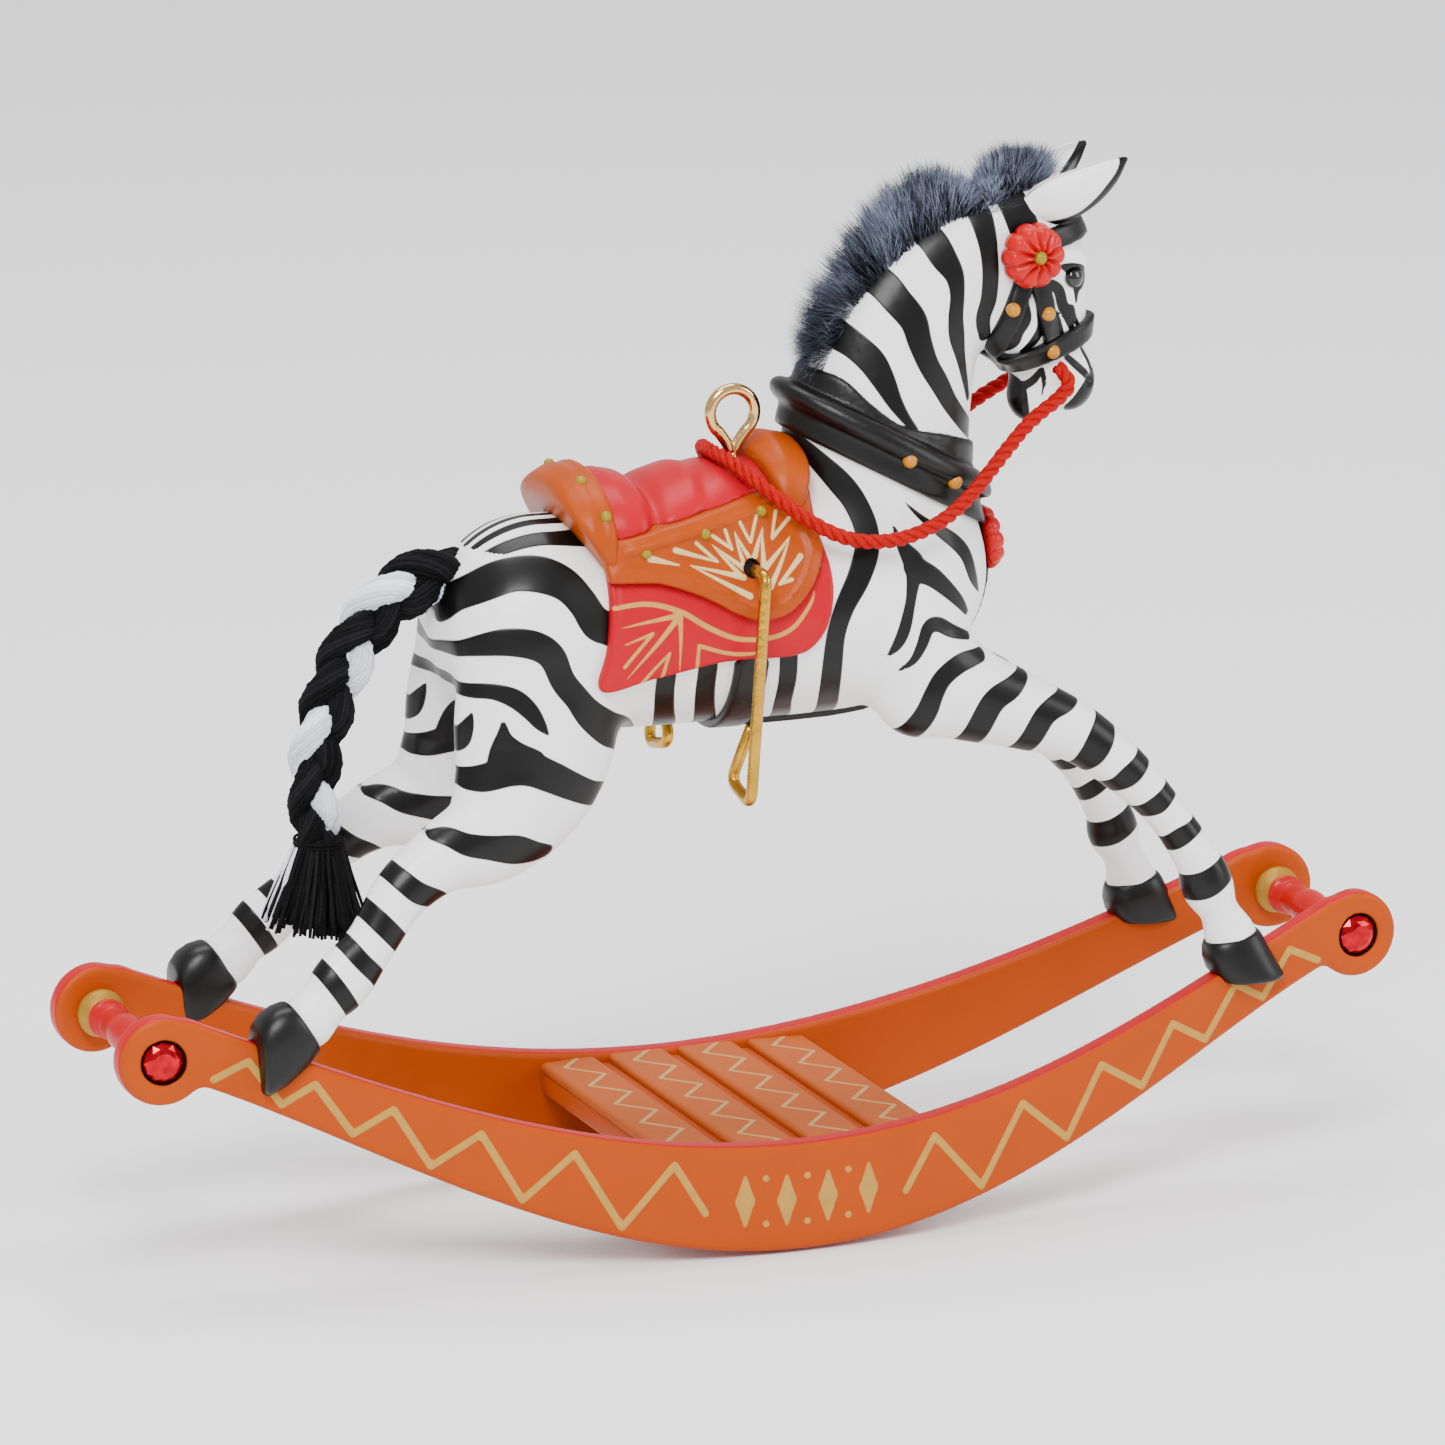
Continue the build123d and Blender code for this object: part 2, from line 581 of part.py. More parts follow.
def build_hair(skin, head):
    """Plain closed bodies of the mane with its forelock, and the braided tail with its tassel."""
    mane = tube_between(MANE) - NODES["neck"] - head - NODES["collar"]
    forelock = tube_between(FORELOCK) - head
    for ear in ("ear_right", "ear_left"):
        mane, forelock = mane - NODES[ear], forelock - NODES[ear]
    keep("mane", Compound(children=[largest(mane), largest(forelock)]))
    braid = round_tube([(x, 0, z) for x, z in BRAID], BRAID_RADIUS, "tail_braid")
    tassel = loft([Pos(x, 0, z) * Circle(radius) for x, z, radius in TASSEL])
    tie = Pos(BRAID[-1][0], 0, (TIE_TOP_Z + TIE_BOTTOM_Z) / 2) * Cylinder(
        TIE_RADIUS, TIE_TOP_Z - TIE_BOTTOM_Z)
    keep("tail_braid", largest(braid - skin - tie))
    keep("tail_tassel", tie + tassel)


def tube_between(sections):
    return loft([oval_between(inner, outer, 0, width) for inner, outer, width in sections])


def main():
    rockers = build_rockers()
    build_deck(rockers)
    keep("hanging_loop", hanging_loop())
    skin, head = build_body()
    build_legs(skin, rockers)
    build_tack(skin)
    build_bridle(head)
    build_studs(skin, head)
    build_buttons(skin)
    build_hair(skin, head)
    pair("stirrup", stirrup())
    keep("reins", round_tube(rein_route(), REIN_RADIUS, "reins"))
    for place in ("right", "left"):
        keep("torso_" + place, NODES["torso_" + place] - NODES["hanging_loop"])

    os.makedirs("parts", exist_ok=True)
    for name, shape in NODES.items():
        export_step(shape, "parts/%s.step" % name)
    print(len(NODES), "nodes")


main()
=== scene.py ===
import math

import bpy
import numpy as np
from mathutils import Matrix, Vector


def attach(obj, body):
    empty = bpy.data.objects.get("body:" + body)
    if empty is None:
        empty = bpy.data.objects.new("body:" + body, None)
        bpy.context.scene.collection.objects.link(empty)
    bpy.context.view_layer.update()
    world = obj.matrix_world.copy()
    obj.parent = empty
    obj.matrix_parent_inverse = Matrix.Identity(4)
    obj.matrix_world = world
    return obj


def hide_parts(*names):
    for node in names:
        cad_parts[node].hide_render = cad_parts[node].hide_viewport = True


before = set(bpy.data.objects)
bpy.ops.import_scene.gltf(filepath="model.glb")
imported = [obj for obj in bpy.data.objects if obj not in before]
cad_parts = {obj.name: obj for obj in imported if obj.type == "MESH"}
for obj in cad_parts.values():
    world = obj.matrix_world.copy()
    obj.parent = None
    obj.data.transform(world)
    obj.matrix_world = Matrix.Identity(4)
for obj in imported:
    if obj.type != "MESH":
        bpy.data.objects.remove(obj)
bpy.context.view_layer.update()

MM = 0.001


# ---------------------------------------------------------------- camera, floor and light

def aim(thing, place, target):
    thing.location = place
    thing.rotation_mode = "QUATERNION"
    thing.rotation_quaternion = (Vector(target) - Vector(place)).to_track_quat("-Z", "Y")


AZIMUTH, ELEVATION, DISTANCE = math.radians(-21.83), math.radians(13.88), 0.6949
TARGET = Vector((-0.000766, 0, 0.03584))
BACK = Vector((math.sin(AZIMUTH) * math.cos(ELEVATION), -math.cos(AZIMUTH) * math.cos(ELEVATION),
               math.sin(ELEVATION)))
camera = bpy.data.objects.new("camera", bpy.data.cameras.new("camera"))
bpy.context.scene.collection.objects.link(camera)
camera.data.lens = 238.9
camera.data.sensor_width = 36
camera.data.clip_start, camera.data.clip_end = 0.05, 20
camera.data.dof.use_dof = False
aim(camera, TARGET + BACK * DISTANCE, TARGET)
bpy.context.scene.camera = camera


def nodes_of(material):
    material.use_nodes = True
    tree = material.node_tree
    tree.nodes.clear()
    return tree


def stage_material():
    material = bpy.data.materials.new("floor_paper")
    tree = nodes_of(material)
    out = tree.nodes.new("ShaderNodeOutputMaterial")
    shader = tree.nodes.new("ShaderNodeBsdfPrincipled")
    noise = tree.nodes.new("ShaderNodeTexNoise")
    noise.inputs["Scale"].default_value = 40
    ramp = tree.nodes.new("ShaderNodeMapRange")
    ramp.inputs["To Min"].default_value = 0.93
    ramp.inputs["To Max"].default_value = 0.95
    shader.inputs["Roughness"].default_value = 0.9
    shader.inputs["Specular IOR Level"].default_value = 0.1
    tree.links.new(noise.outputs["Fac"], ramp.inputs["Value"])
    tree.links.new(ramp.outputs["Result"], shader.inputs["Base Color"])
    tree.links.new(shader.outputs["BSDF"], out.inputs["Surface"])
    return material


bpy.ops.mesh.primitive_plane_add(size=8, location=(0, 0, -0.0002))
floor = bpy.context.object
floor.name = "floor"
floor.data.materials.append(stage_material())

world = bpy.data.worlds.new("studio")
bpy.context.scene.world = world
world.use_nodes = True
world.node_tree.nodes["Background"].inputs["Color"].default_value = (1, 1, 1, 1)
world.node_tree.nodes["Background"].inputs["Strength"].default_value = 0.85


def area_light(name, place, size, power, target=(0, 0, 0.04)):
    data = bpy.data.lights.new(name, "AREA")
    data.shape = "RECTANGLE"
    data.size, data.size_y, data.energy = size[0], size[1], power
    lamp = bpy.data.objects.new(name, data)
    bpy.context.scene.collection.objects.link(lamp)
    aim(lamp, place, target)


area_light("key", (-0.25, -0.45, 0.55), (0.30, 0.30), 6.0)
area_light("fill", (0.55, -0.35, 0.30), (0.3, 0.4), 2.2)
area_light("top", (0.0, 0.15, 0.7), (0.5, 0.3), 3.5)


# ---------------------------------------------------------------- materials

def paint(name, colour, rough=0.4, metal=0.0, coat=0.0, mottle=(600, 0.06), grain=(3000, 0.05),
          inks=(), fibre=None, shine=0.2):
    """Colour that varies softly, fine surface grain, and painted shapes held in mesh attributes.
    Each ink is attribute, colour, roughness and raised height."""
    material = bpy.data.materials.new(name)
    tree = nodes_of(material)
    new, link = tree.nodes.new, tree.links.new
    out, shader = new("ShaderNodeOutputMaterial"), new("ShaderNodeBsdfPrincipled")
    link(shader.outputs["BSDF"], out.inputs["Surface"])
    shader.inputs["Metallic"].default_value = metal
    shader.inputs["Coat Weight"].default_value = coat
    shader.inputs["Specular IOR Level"].default_value = shine
    shader.inputs["Coat Roughness"].default_value = 0.12
    place = new("ShaderNodeTexCoord")
    noise = new("ShaderNodeTexNoise")
    noise.inputs["Scale"].default_value = mottle[0]
    noise.inputs["Detail"].default_value = 4
    link(place.outputs["Object"], noise.inputs["Vector"])
    mix = new("ShaderNodeMix")
    mix.data_type = "RGBA"
    dark = tuple(c * (1 - mottle[1] * 2.2) for c in colour)
    light = tuple(min(1, c * (1 + mottle[1])) for c in colour)
    mix.inputs["A"].default_value = (*dark, 1)
    mix.inputs["B"].default_value = (*light, 1)
    link(noise.outputs["Fac"], mix.inputs["Factor"])
    shade = mix.outputs["Result"]
    if fibre:
        attribute = new("ShaderNodeAttribute")
        attribute.attribute_name = fibre
        shade = attribute.outputs["Color"]
    vary = new("ShaderNodeMapRange")
    vary.inputs["To Min"].default_value = rough * 0.85
    vary.inputs["To Max"].default_value = min(1, rough * 1.15)
    link(noise.outputs["Fac"], vary.inputs["Value"])
    roughness = vary.outputs["Result"]
    fine = new("ShaderNodeTexNoise")
    fine.inputs["Scale"].default_value = grain[0]
    link(place.outputs["Object"], fine.inputs["Vector"])
    bump = new("ShaderNodeBump")
    bump.inputs["Strength"].default_value = grain[1]
    bump.inputs["Distance"].default_value = 0.0003
    link(fine.outputs["Fac"], bump.inputs["Height"])
    normal = bump.outputs["Normal"]
    for attribute_name, ink_colour, ink_rough, raised in inks:
        attribute = new("ShaderNodeAttribute")
        attribute.attribute_name = attribute_name
        edge = new("ShaderNodeMapRange")
        edge.inputs["From Min"].default_value = 0.03
        edge.inputs["From Max"].default_value = -0.03
        link(attribute.outputs["Fac"], edge.inputs["Value"])
        tone = new("ShaderNodeMix")
        tone.data_type = "RGBA"
        tone.inputs["A"].default_value = (*(c * 0.8 for c in ink_colour), 1)
        tone.inputs["B"].default_value = (*(min(1, c * 1.15) for c in ink_colour), 1)
        link(fine.outputs["Fac"], tone.inputs["Factor"])
        over = new("ShaderNodeMix")
        over.data_type = "RGBA"
        link(edge.outputs["Result"], over.inputs["Factor"])
        link(shade, over.inputs["A"])
        link(tone.outputs["Result"], over.inputs["B"])
        shade = over.outputs["Result"]
        rough_mix = new("ShaderNodeMix")
        link(edge.outputs["Result"], rough_mix.inputs["Factor"])
        link(roughness, rough_mix.inputs["A"])
        rough_mix.inputs["B"].default_value = ink_rough
        roughness = rough_mix.outputs["Result"]
        if raised:
            lip = new("ShaderNodeMapRange")
            lip.inputs["From Min"].default_value = 0.12
            lip.inputs["From Max"].default_value = -0.12
            link(attribute.outputs["Fac"], lip.inputs["Value"])
            ridge = new("ShaderNodeBump")
            ridge.inputs["Strength"].default_value = raised
            ridge.inputs["Distance"].default_value = 0.0001
            link(lip.outputs["Result"], ridge.inputs["Height"])
            link(normal, ridge.inputs["Normal"])
            normal = ridge.outputs["Normal"]
    link(shade, shader.inputs["Base Color"])
    link(roughness, shader.inputs["Roughness"])
    link(normal, shader.inputs["Normal"])
    return material


INK = (0.0015, 0.0013, 0.0013)
GOLD = (0.43, 0.235, 0.045)
PALE_GOLD = (0.66, 0.50, 0.22)
ORANGE = (0.40, 0.052, 0.0004)
RED = (0.44, 0.0004, 0.003)
# dark brown painted shade for the floors of recesses and holes, carried by the "hollow" attribute
RECESS_SHADE = (0.012, 0.002, 0.0008)

COAT = paint("coat_paint", (0.92, 0.92, 0.915), 0.36, coat=0.05, mottle=(180, 0.02), grain=(900, 0.03),
             inks=[("ink", INK, 0.34, 0.6)], shine=0.25)
BLACK_GLOSS = paint("hoof_paint", (0.0022, 0.0022, 0.0024), 0.36, grain=(900, 0.08), shine=0.3)
HARNESS = paint("harness_paint", (0.0022, 0.002, 0.002), 0.36, grain=(1400, 0.12), shine=0.3)
# the rocker's "hollow" ink is painted shade on the floor of each jewel's recess
ORANGE_PAINT = paint("rocker_paint", ORANGE, 0.40, grain=(1800, 0.06), mottle=(200, 0.05), shine=0.12,
                     inks=[("edge", (0.46, 0.0004, 0.004), 0.35, 0.3), ("gold", GOLD, 0.42, 0.5),
                           ("hollow", RECESS_SHADE, 0.5, 0)])
SLAT_PAINT = paint("slat_paint", (0.42, 0.085, 0.014), 0.5, grain=(1800, 0.1), mottle=(400, 0.05),
                   inks=[("gold", (0.46, 0.27, 0.10), 0.45, 0.4)], shine=0.1)
SLAT_PLAIN = paint("deck_board_paint", (0.40, 0.055, 0.004), 0.5, grain=(1800, 0.1), mottle=(400, 0.05))
RED_PAINT = paint("red_paint", RED, 0.3, coat=0.05, grain=(1500, 0.05), shine=0.16)
BEAD_GOLD = paint("bead_gold", (0.36, 0.18, 0.02), 0.45, metal=0.35, grain=(2500, 0.2))
STUD_GOLD = paint("stud_gold", (0.50, 0.19, 0.0006), 0.3, coat=0.1, grain=(2500, 0.08), shine=0.3)
OLIVE_GOLD = paint("saddle_stud_gold", (0.27, 0.19, 0.0016), 0.35, coat=0.1, grain=(2500, 0.1), shine=0.3)
# the leather's "hollow" ink is painted shade inside the stirrup's pin hole
LEATHER = paint("saddle_leather", (0.38, 0.052, 0.0005), 0.36, grain=(1600, 0.1), mottle=(350, 0.08),
                shine=0.15, inks=[("gold", PALE_GOLD, 0.45, 0.4), ("hollow", RECESS_SHADE, 0.5, 0)])
SADDLE_RED = paint("saddle_red", (0.45, 0.0004, 0.012), 0.32, grain=(1200, 0.06), mottle=(250, 0.06),
                   shine=0.14, inks=[("gold", (0.55, 0.27, 0.06), 0.45, 0.4)])
ROSETTE_RED = paint("rosette_red", (0.50, 0.0008, 0.003), 0.3, coat=0.05, grain=(1600, 0.08), shine=0.2)
LOOP_BRASS = paint("loop_brass", (0.74, 0.47, 0.19), 0.14, metal=1.0, grain=(1500, 0.05), mottle=(500, 0.1))
STIRRUP_BRASS = paint("stirrup_brass", (0.60, 0.32, 0.035), 0.28, metal=1.0, grain=(2200, 0.25),
                      mottle=(900, 0.2))
EYE_BLACK = paint("eye_black", (0.003, 0.002, 0.002), 0.08, coat=0.5, grain=(900, 0.0), shine=0.4)
RUBY = paint("ruby_glass", (0.55, 0.0006, 0.012), 0.10, metal=0.85, grain=(900, 0.0), mottle=(1400, 0.4),
             shine=0.5)
CORD_RED = paint("rein_cord", (0.42, 0.0006, 0.0012), 0.5, grain=(6000, 0.5), mottle=(2500, 0.15), shine=0.1)
FUR = paint("mane_fur", (0.2, 0.2, 0.25), 0.6, fibre="tint", grain=(4000, 0.0), shine=0.12)
YARN = paint("tail_yarn", (0.05, 0.05, 0.05), 0.75, fibre="tint", grain=(7000, 0.4), shine=0.08)


# ---------------------------------------------------------------- mesh helpers

def piece(name, verts, faces, material, slot, replaces=(), body="figure", normals=None, flat=False,
          floats=None, tints=None):
    """A mesh from millimetre points that rides on a body and stands for CAD nodes."""
    mesh = bpy.data.meshes.new(name)
    verts = np.asarray(verts, float) * MM
    faces = [np.asarray(block) for block in (faces if isinstance(faces, list) else [faces])]
    loops = np.concatenate([block.ravel() for block in faces])
    sizes = np.concatenate([np.full(len(block), block.shape[1]) for block in faces])
    mesh.vertices.add(len(verts))
    mesh.vertices.foreach_set("co", verts.astype(np.float32).ravel())
    mesh.loops.add(len(loops))
    mesh.loops.foreach_set("vertex_index", loops.astype(np.int32))
    mesh.polygons.add(len(sizes))
    mesh.polygons.foreach_set("loop_start", np.concatenate([[0], np.cumsum(sizes)[:-1]]).astype(np.int32))
    mesh.update(calc_edges=True)
    mesh.validate()
    mesh.polygons.foreach_set("use_smooth", np.full(len(mesh.polygons), not flat))
    for key, values in (floats or {}).items():
        layer = mesh.attributes.new(key, "FLOAT", "POINT")
        layer.data.foreach_set("value", np.asarray(values, np.float32))
    if tints is not None:
        layer = mesh.attributes.new("tint", "FLOAT_COLOR", "POINT")
        layer.data.foreach_set("color", np.asarray(tints, np.float32).ravel())
    if normals is not None:
        mesh.normals_split_custom_set_from_vertices(np.asarray(normals, float).tolist())
    mesh.materials.append(material)
    thing = bpy.data.objects.new(name, mesh)
    bpy.context.scene.collection.objects.link(thing)
    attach(thing, body)
    if replaces:
        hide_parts(*replaces)
    return thing


def unit(v):
    return v / np.maximum(np.linalg.norm(v, axis=-1, keepdims=True), 1e-12)


def smooth_line(points, steps=8):
    """Catmull-Rom samples through rows of numbers."""
    p = np.asarray(points, float)
    if len(p) < 3:
        return np.linspace(p[0], p[-1], steps * (len(p) - 1) + 1)
    p = np.vstack([2 * p[0] - p[1], p, 2 * p[-1] - p[-2]])
    spans = len(p) - 3
    t = np.linspace(0, spans, spans * steps + 1)
    i = np.minimum(t.astype(int), spans - 1)
    f = (t - i)[:, None]
    a, b, c, d = p[i], p[i + 1], p[i + 2], p[i + 3]
    bend = 2 * b + (c - a) * f + (2 * a - 5 * b + 4 * c - d) * f ** 2
    return 0.5 * (bend + (3 * b - a - 3 * c + d) * f ** 3)


def ring_quads(rings, sides):
    """Quads between each ring of points and the next."""
    row = np.arange(rings - 1)[:, None] * sides
    col = np.arange(sides)[None, :]
    nxt = (col + 1) % sides
    return np.stack([row + col, row + nxt, row + nxt + sides, row + col + sides], -1).reshape(-1, 4)


def end_caps(rings, sides, first, last):
    """Triangles from the first ring to point number first, and from the last ring to point last."""
    c = np.arange(sides)
    nxt = (c + 1) % sides
    top = (rings - 1) * sides
    return np.concatenate([np.stack([np.full(sides, first), nxt, c], 1),
                           np.stack([np.full(sides, last), top + c, top + nxt], 1)])


def tube_along(points, radii, sides=12, closed_ends=True):
    """A round tube along points with a radius at each: vertices and quads."""
    p = np.asarray(points, float)
    r = np.broadcast_to(np.asarray(radii, float), (len(p),))
    along = unit(np.gradient(p, axis=0))
    up = np.array([0, 0, 1.0]) if abs(along[0][2]) < 0.9 else np.array([1.0, 0, 0])
    side = unit(np.cross(along[0], up))
    frames = []
    for direction in along:
        side = unit(side - direction * (side @ direction))
        frames.append((side, np.cross(direction, side)))
    a = np.array([f[0] for f in frames])[:, None]
    b = np.array([f[1] for f in frames])[:, None]
    angle = 2 * np.pi * np.arange(sides) / sides
    ring = np.cos(angle)[None, :, None] * a + np.sin(angle)[None, :, None] * b
    verts = (p[:, None] + ring * r[:, None, None]).reshape(-1, 3)
    quads = ring_quads(len(p), sides)
    if not closed_ends:
        return verts, [quads]
    n = len(p) * sides
    return np.vstack([verts, [p[0], p[-1]]]), [quads, end_caps(len(p), sides, n, n + 1)]


def lathe(profile, origin, axis, sides=48):
    """A turned piece: rows of radius and height about an axis."""
    axis = unit(np.asarray(axis, float))
    other = np.array([0, 0, 1.0]) if abs(axis[2]) < 0.9 else np.array([1.0, 0, 0])
    a = unit(np.cross(axis, other))
    b = np.cross(axis, a)
    rows = np.asarray(profile, float)
    angle = 2 * np.pi * np.arange(sides) / sides
    ring = np.cos(angle)[:, None] * a + np.sin(angle)[:, None] * b
    verts = (np.asarray(origin)[None, None] + rows[:, 0, None, None] * ring[None]
             + rows[:, 1, None, None] * axis).reshape(-1, 3)
    return verts, [ring_quads(len(rows), sides)]


def merge(parts):
    """Join (verts, face blocks) pairs into one."""
    verts, faces, count = [], [], 0
    for v, blocks in parts:
        verts.append(v)
        faces += [block + count for block in blocks]
        count += len(v)
    return np.concatenate(verts), faces


# ---------------------------------------------------------------- sculpting with distance fields

class Grid:
    """A box of evenly spaced sample points, in millimetres."""
    def __init__(self, low, high, step=0.25):
        self.low, self.step = np.array(low, float), step
        count = np.ceil((np.array(high) - self.low) / step).astype(int) + 1
        self.x, self.y, self.z = [self.low[i] + step * np.arange(count[i]) for i in range(3)]
        self.X = self.x[:, None, None]
        self.Y = self.y[None, :, None]
        self.Z = self.z[None, None, :]


def smooth_union(a, b, k):
    h = np.clip(0.5 + 0.5 * (b - a) / k, 0, 1)
    return b + (a - b) * h - k * h * (1 - h)


def smooth_cut(a, b, k):
    """The part inside both fields, with its edges rounded by k."""
    return -smooth_union(-a, -b, k)


def limb_field(grid, rows, steps=12, cap=1.0):
    """Oval tube through rows of x, z, half height, y, half width."""
    c = smooth_line(rows, steps)
    X, Z = np.meshgrid(grid.x, grid.z, indexing="ij")
    best = np.full(X.shape, 1e9)
    high, mid, wide = np.ones(X.shape), np.zeros(X.shape), np.ones(X.shape)
    for k in range(len(c) - 1):
        a, b = c[k], c[k + 1]
        dx, dz = b[0] - a[0], b[1] - a[1]
        length = math.hypot(dx, dz)
        share = ((X - a[0]) * dx + (Z - a[1]) * dz) / length ** 2
        t = np.clip(share, 0, 1)
        px, pz = a[0] + t * dx, a[1] + t * dz
        h = a[2] + t * (b[2] - a[2])
        across = (-(X - px) * dz + (Z - pz) * dx) / length
        beyond = ((X - px) * dx + (Z - pz) * dz) / length
        q = (across / h) ** 2 + (beyond / (h * cap)) ** 2
        near = q < best
        best = np.where(near, q, best)
        high = np.where(near, h, high)
        mid = np.where(near, a[3] + t * (b[3] - a[3]), mid)
        wide = np.where(near, a[4] + t * (b[4] - a[4]), wide)
    r = np.sqrt(best[:, None, :] + ((grid.Y - mid[:, None, :]) / wide[:, None, :]) ** 2)
    return ((r - 1) * np.minimum(high, wide)[:, None, :]).astype(np.float32)


def blob_field(grid, centre, radii):
    r = np.sqrt(((grid.X - centre[0]) / radii[0]) ** 2 + ((grid.Y - centre[1]) / radii[1]) ** 2
                + ((grid.Z - centre[2]) / radii[2]) ** 2)
    return ((r - 1) * min(radii)).astype(np.float32)


def net(grid, field):
    """The zero surface of a field: points, quads, and outward normals."""
    inside = field < 0
    nx, ny, nz = field.shape
    first = inside[:-1, :-1, :-1]
    mixed = np.zeros(first.shape, bool)
    corners = [(i, j, k) for i in (0, 1) for j in (0, 1) for k in (0, 1)]
    for i, j, k in corners:
        mixed |= inside[i:nx - 1 + i, j:ny - 1 + j, k:nz - 1 + k] != first
    ci, cj, ck = np.nonzero(mixed)
    total, count = np.zeros((len(ci), 3)), np.zeros(len(ci))
    for corner in corners:
        for d in range(3):
            if corner[d]:
                continue
            end = list(corner)
            end[d] = 1
            fa = field[ci + corner[0], cj + corner[1], ck + corner[2]]
            fb = field[ci + end[0], cj + end[1], ck + end[2]]
            crossed = (fa < 0) != (fb < 0)
            t = np.where(crossed, fa / np.where(crossed, fa - fb, 1), 0)
            point = np.tile(np.array(corner, float), (len(ci), 1))
            point[:, d] += t
            total[crossed] += point[crossed]
            count[crossed] += 1
    cell = np.stack([ci, cj, ck], 1)
    place = cell + total / count[:, None]
    index = np.full(mixed.shape, -1, np.int64)
    index[ci, cj, ck] = np.arange(len(ci))
    quads = []
    for d in range(3):
        low, high = [slice(1, -1)] * 3, [slice(1, -1)] * 3
        low[d], high[d] = slice(0, -1), slice(1, None)
        a, b = inside[tuple(low)], inside[tuple(high)]
        hit = np.nonzero(a != b)
        base = [hit[0] + 1, hit[1] + 1, hit[2] + 1]
        base[d] = hit[d]
        u, v = [(1, 2), (2, 0), (0, 1)][d]

        def at(p, q):
            c = [base[0].copy(), base[1].copy(), base[2].copy()]
            c[u] -= p
            c[v] -= q
            return index[c[0], c[1], c[2]]
        quad = np.stack([at(1, 1), at(0, 1), at(0, 0), at(1, 0)], 1)
        turned = ~a[hit]
        quad[turned] = quad[turned][:, ::-1]
        quads.append(quad)
    quads = np.concatenate(quads)
    quads = quads[(quads >= 0).all(1)]
    verts = place * grid.step + grid.low
    return verts, quads, slopes(field, place)


def slopes(field, place):
    """Unit gradient of a field at fractional grid places."""
    gradient = np.zeros((len(place), 3))
    for d in range(3):
        for side in (-1, 1):
            shifted = place.copy()
            shifted[:, d] += side
            gradient[:, d] += side * sample(field, shifted)
    return unit(gradient)


def sample(field, place):
    top = np.array(field.shape) - 1.001
    p = np.clip(place, 0, top)
    i = p.astype(int)
    f = p - i
    value = np.zeros(len(p))
    for a in (0, 1):
        for b in (0, 1):
            for c in (0, 1):
                weight = (np.abs(1 - a - f[:, 0]) * np.abs(1 - b - f[:, 1]) * np.abs(1 - c - f[:, 2]))
                value += weight * field[i[:, 0] + a, i[:, 1] + b, i[:, 2] + c]
    return value


def refine(verts, quads, normals, times=1):
    """Split each quad into four, keeping shared points shared."""
    for _ in range(times):
        count = len(verts)
        edges = np.concatenate([quads[:, [0, 1]], quads[:, [1, 2]], quads[:, [2, 3]], quads[:, [3, 0]]])
        key = np.sort(edges, 1)
        code = key[:, 0] * count + key[:, 1]
        unique, where = np.unique(code, return_inverse=True)
        first, second = unique // count, unique % count
        n = len(quads)
        e = [count + where[k * n:(k + 1) * n] for k in range(4)]
        m = count + len(unique) + np.arange(n)
        verts = np.concatenate([verts, (verts[first] + verts[second]) / 2, verts[quads].mean(1)])
        normals = unit(np.concatenate([normals, normals[first] + normals[second], normals[quads].sum(1)]))
        q = quads
        quads = np.concatenate([
            np.stack([q[:, 0], e[0], m, e[3]], 1), np.stack([e[0], q[:, 1], e[1], m], 1),
            np.stack([m, e[1], q[:, 2], e[2]], 1), np.stack([e[3], m, e[2], q[:, 3]], 1)])
    return verts, quads, normals


def stroke_distance(points, strokes, steps=6):
    """Signed distance in millimetres from 2-D points to painted strokes of x, y, width."""
    best = np.full(len(points), 9.0)
    for stroke in strokes:
        line = smooth_line(stroke, steps)
        reach = line[:, 2].max() / 2 + 1.5
        low, high = line[:, :2].min(0) - reach, line[:, :2].max(0) + reach
        near = np.nonzero(((points > low) & (points < high)).all(1))[0]
        if not len(near):
            continue
        p = points[near]
        value = np.full(len(near), 9.0)
        for a, b in zip(line, line[1:]):
            d = b[:2] - a[:2]
            t = np.clip(((p - a[:2]) @ d) / max(d @ d, 1e-9), 0, 1)
            gap = np.linalg.norm(p - a[:2] - t[:, None] * d, axis=1)
            value = np.minimum(value, gap - (a[2] + t * (b[2] - a[2])) / 2)
        best[near] = np.minimum(best[near], value)
    return best


def outline_distance(X, Z, points, steps=8):
    """Signed distance to a smooth closed outline, negative inside."""
    line = smooth_line(list(points), steps)[:, :2]
    line = np.vstack([line, line[:1]])
    best = np.full(X.shape, 1e9)
    inside = np.zeros(X.shape, bool)
    for a, b in zip(line, line[1:]):
        d = b - a
        t = np.clip(((X - a[0]) * d[0] + (Z - a[1]) * d[1]) / max(d @ d, 1e-9), 0, 1)
        best = np.minimum(best, (X - a[0] - t * d[0]) ** 2 + (Z - a[1] - t * d[1]) ** 2)
        if abs(d[1]) > 1e-9:
            crosses = (a[1] > Z) != (b[1] > Z)
            inside ^= crosses & (X < a[0] + d[0] * (Z - a[1]) / d[1])
    return np.where(inside, -1, 1) * np.sqrt(best)


# ---------------------------------------------------------------- the zebra's body

TORSO = [(-15.6, 44.8, 7.7, 0, 7.0), (-9, 44.4, 8.0, 0, 7.0), (-2, 44.3, 8.0, 0, 7.2), (5, 44.3, 8.1, 0, 7.4),
         (9.5, 44.7, 8.1, 0, 7.3), (12.2, 45.7, 7.1, 0, 6.7)]
NECK = [(10.6, 48.5, 7.2, 0, 6.2), (11.0, 55.0, 7.1, 0, 5.5), (11.8, 59.3, 6.6, 0, 4.8),
        (13.3, 63.5, 5.9, 0, 4.1), (16.1, 66.8, 5.2, 0, 3.5), (19.0, 69.3, 4.3, 0, 3.1)]
HEAD = [(22.2, 71.6, 3.6, 0, 2.8), (23.2, 68.1, 4.2, 0, 3.1), (23.8, 64.8, 3.8, 0, 2.75),
        (24.35, 61.9, 3.1, 0, 2.3), (24.9, 60.3, 2.75, 0, 2.1)]
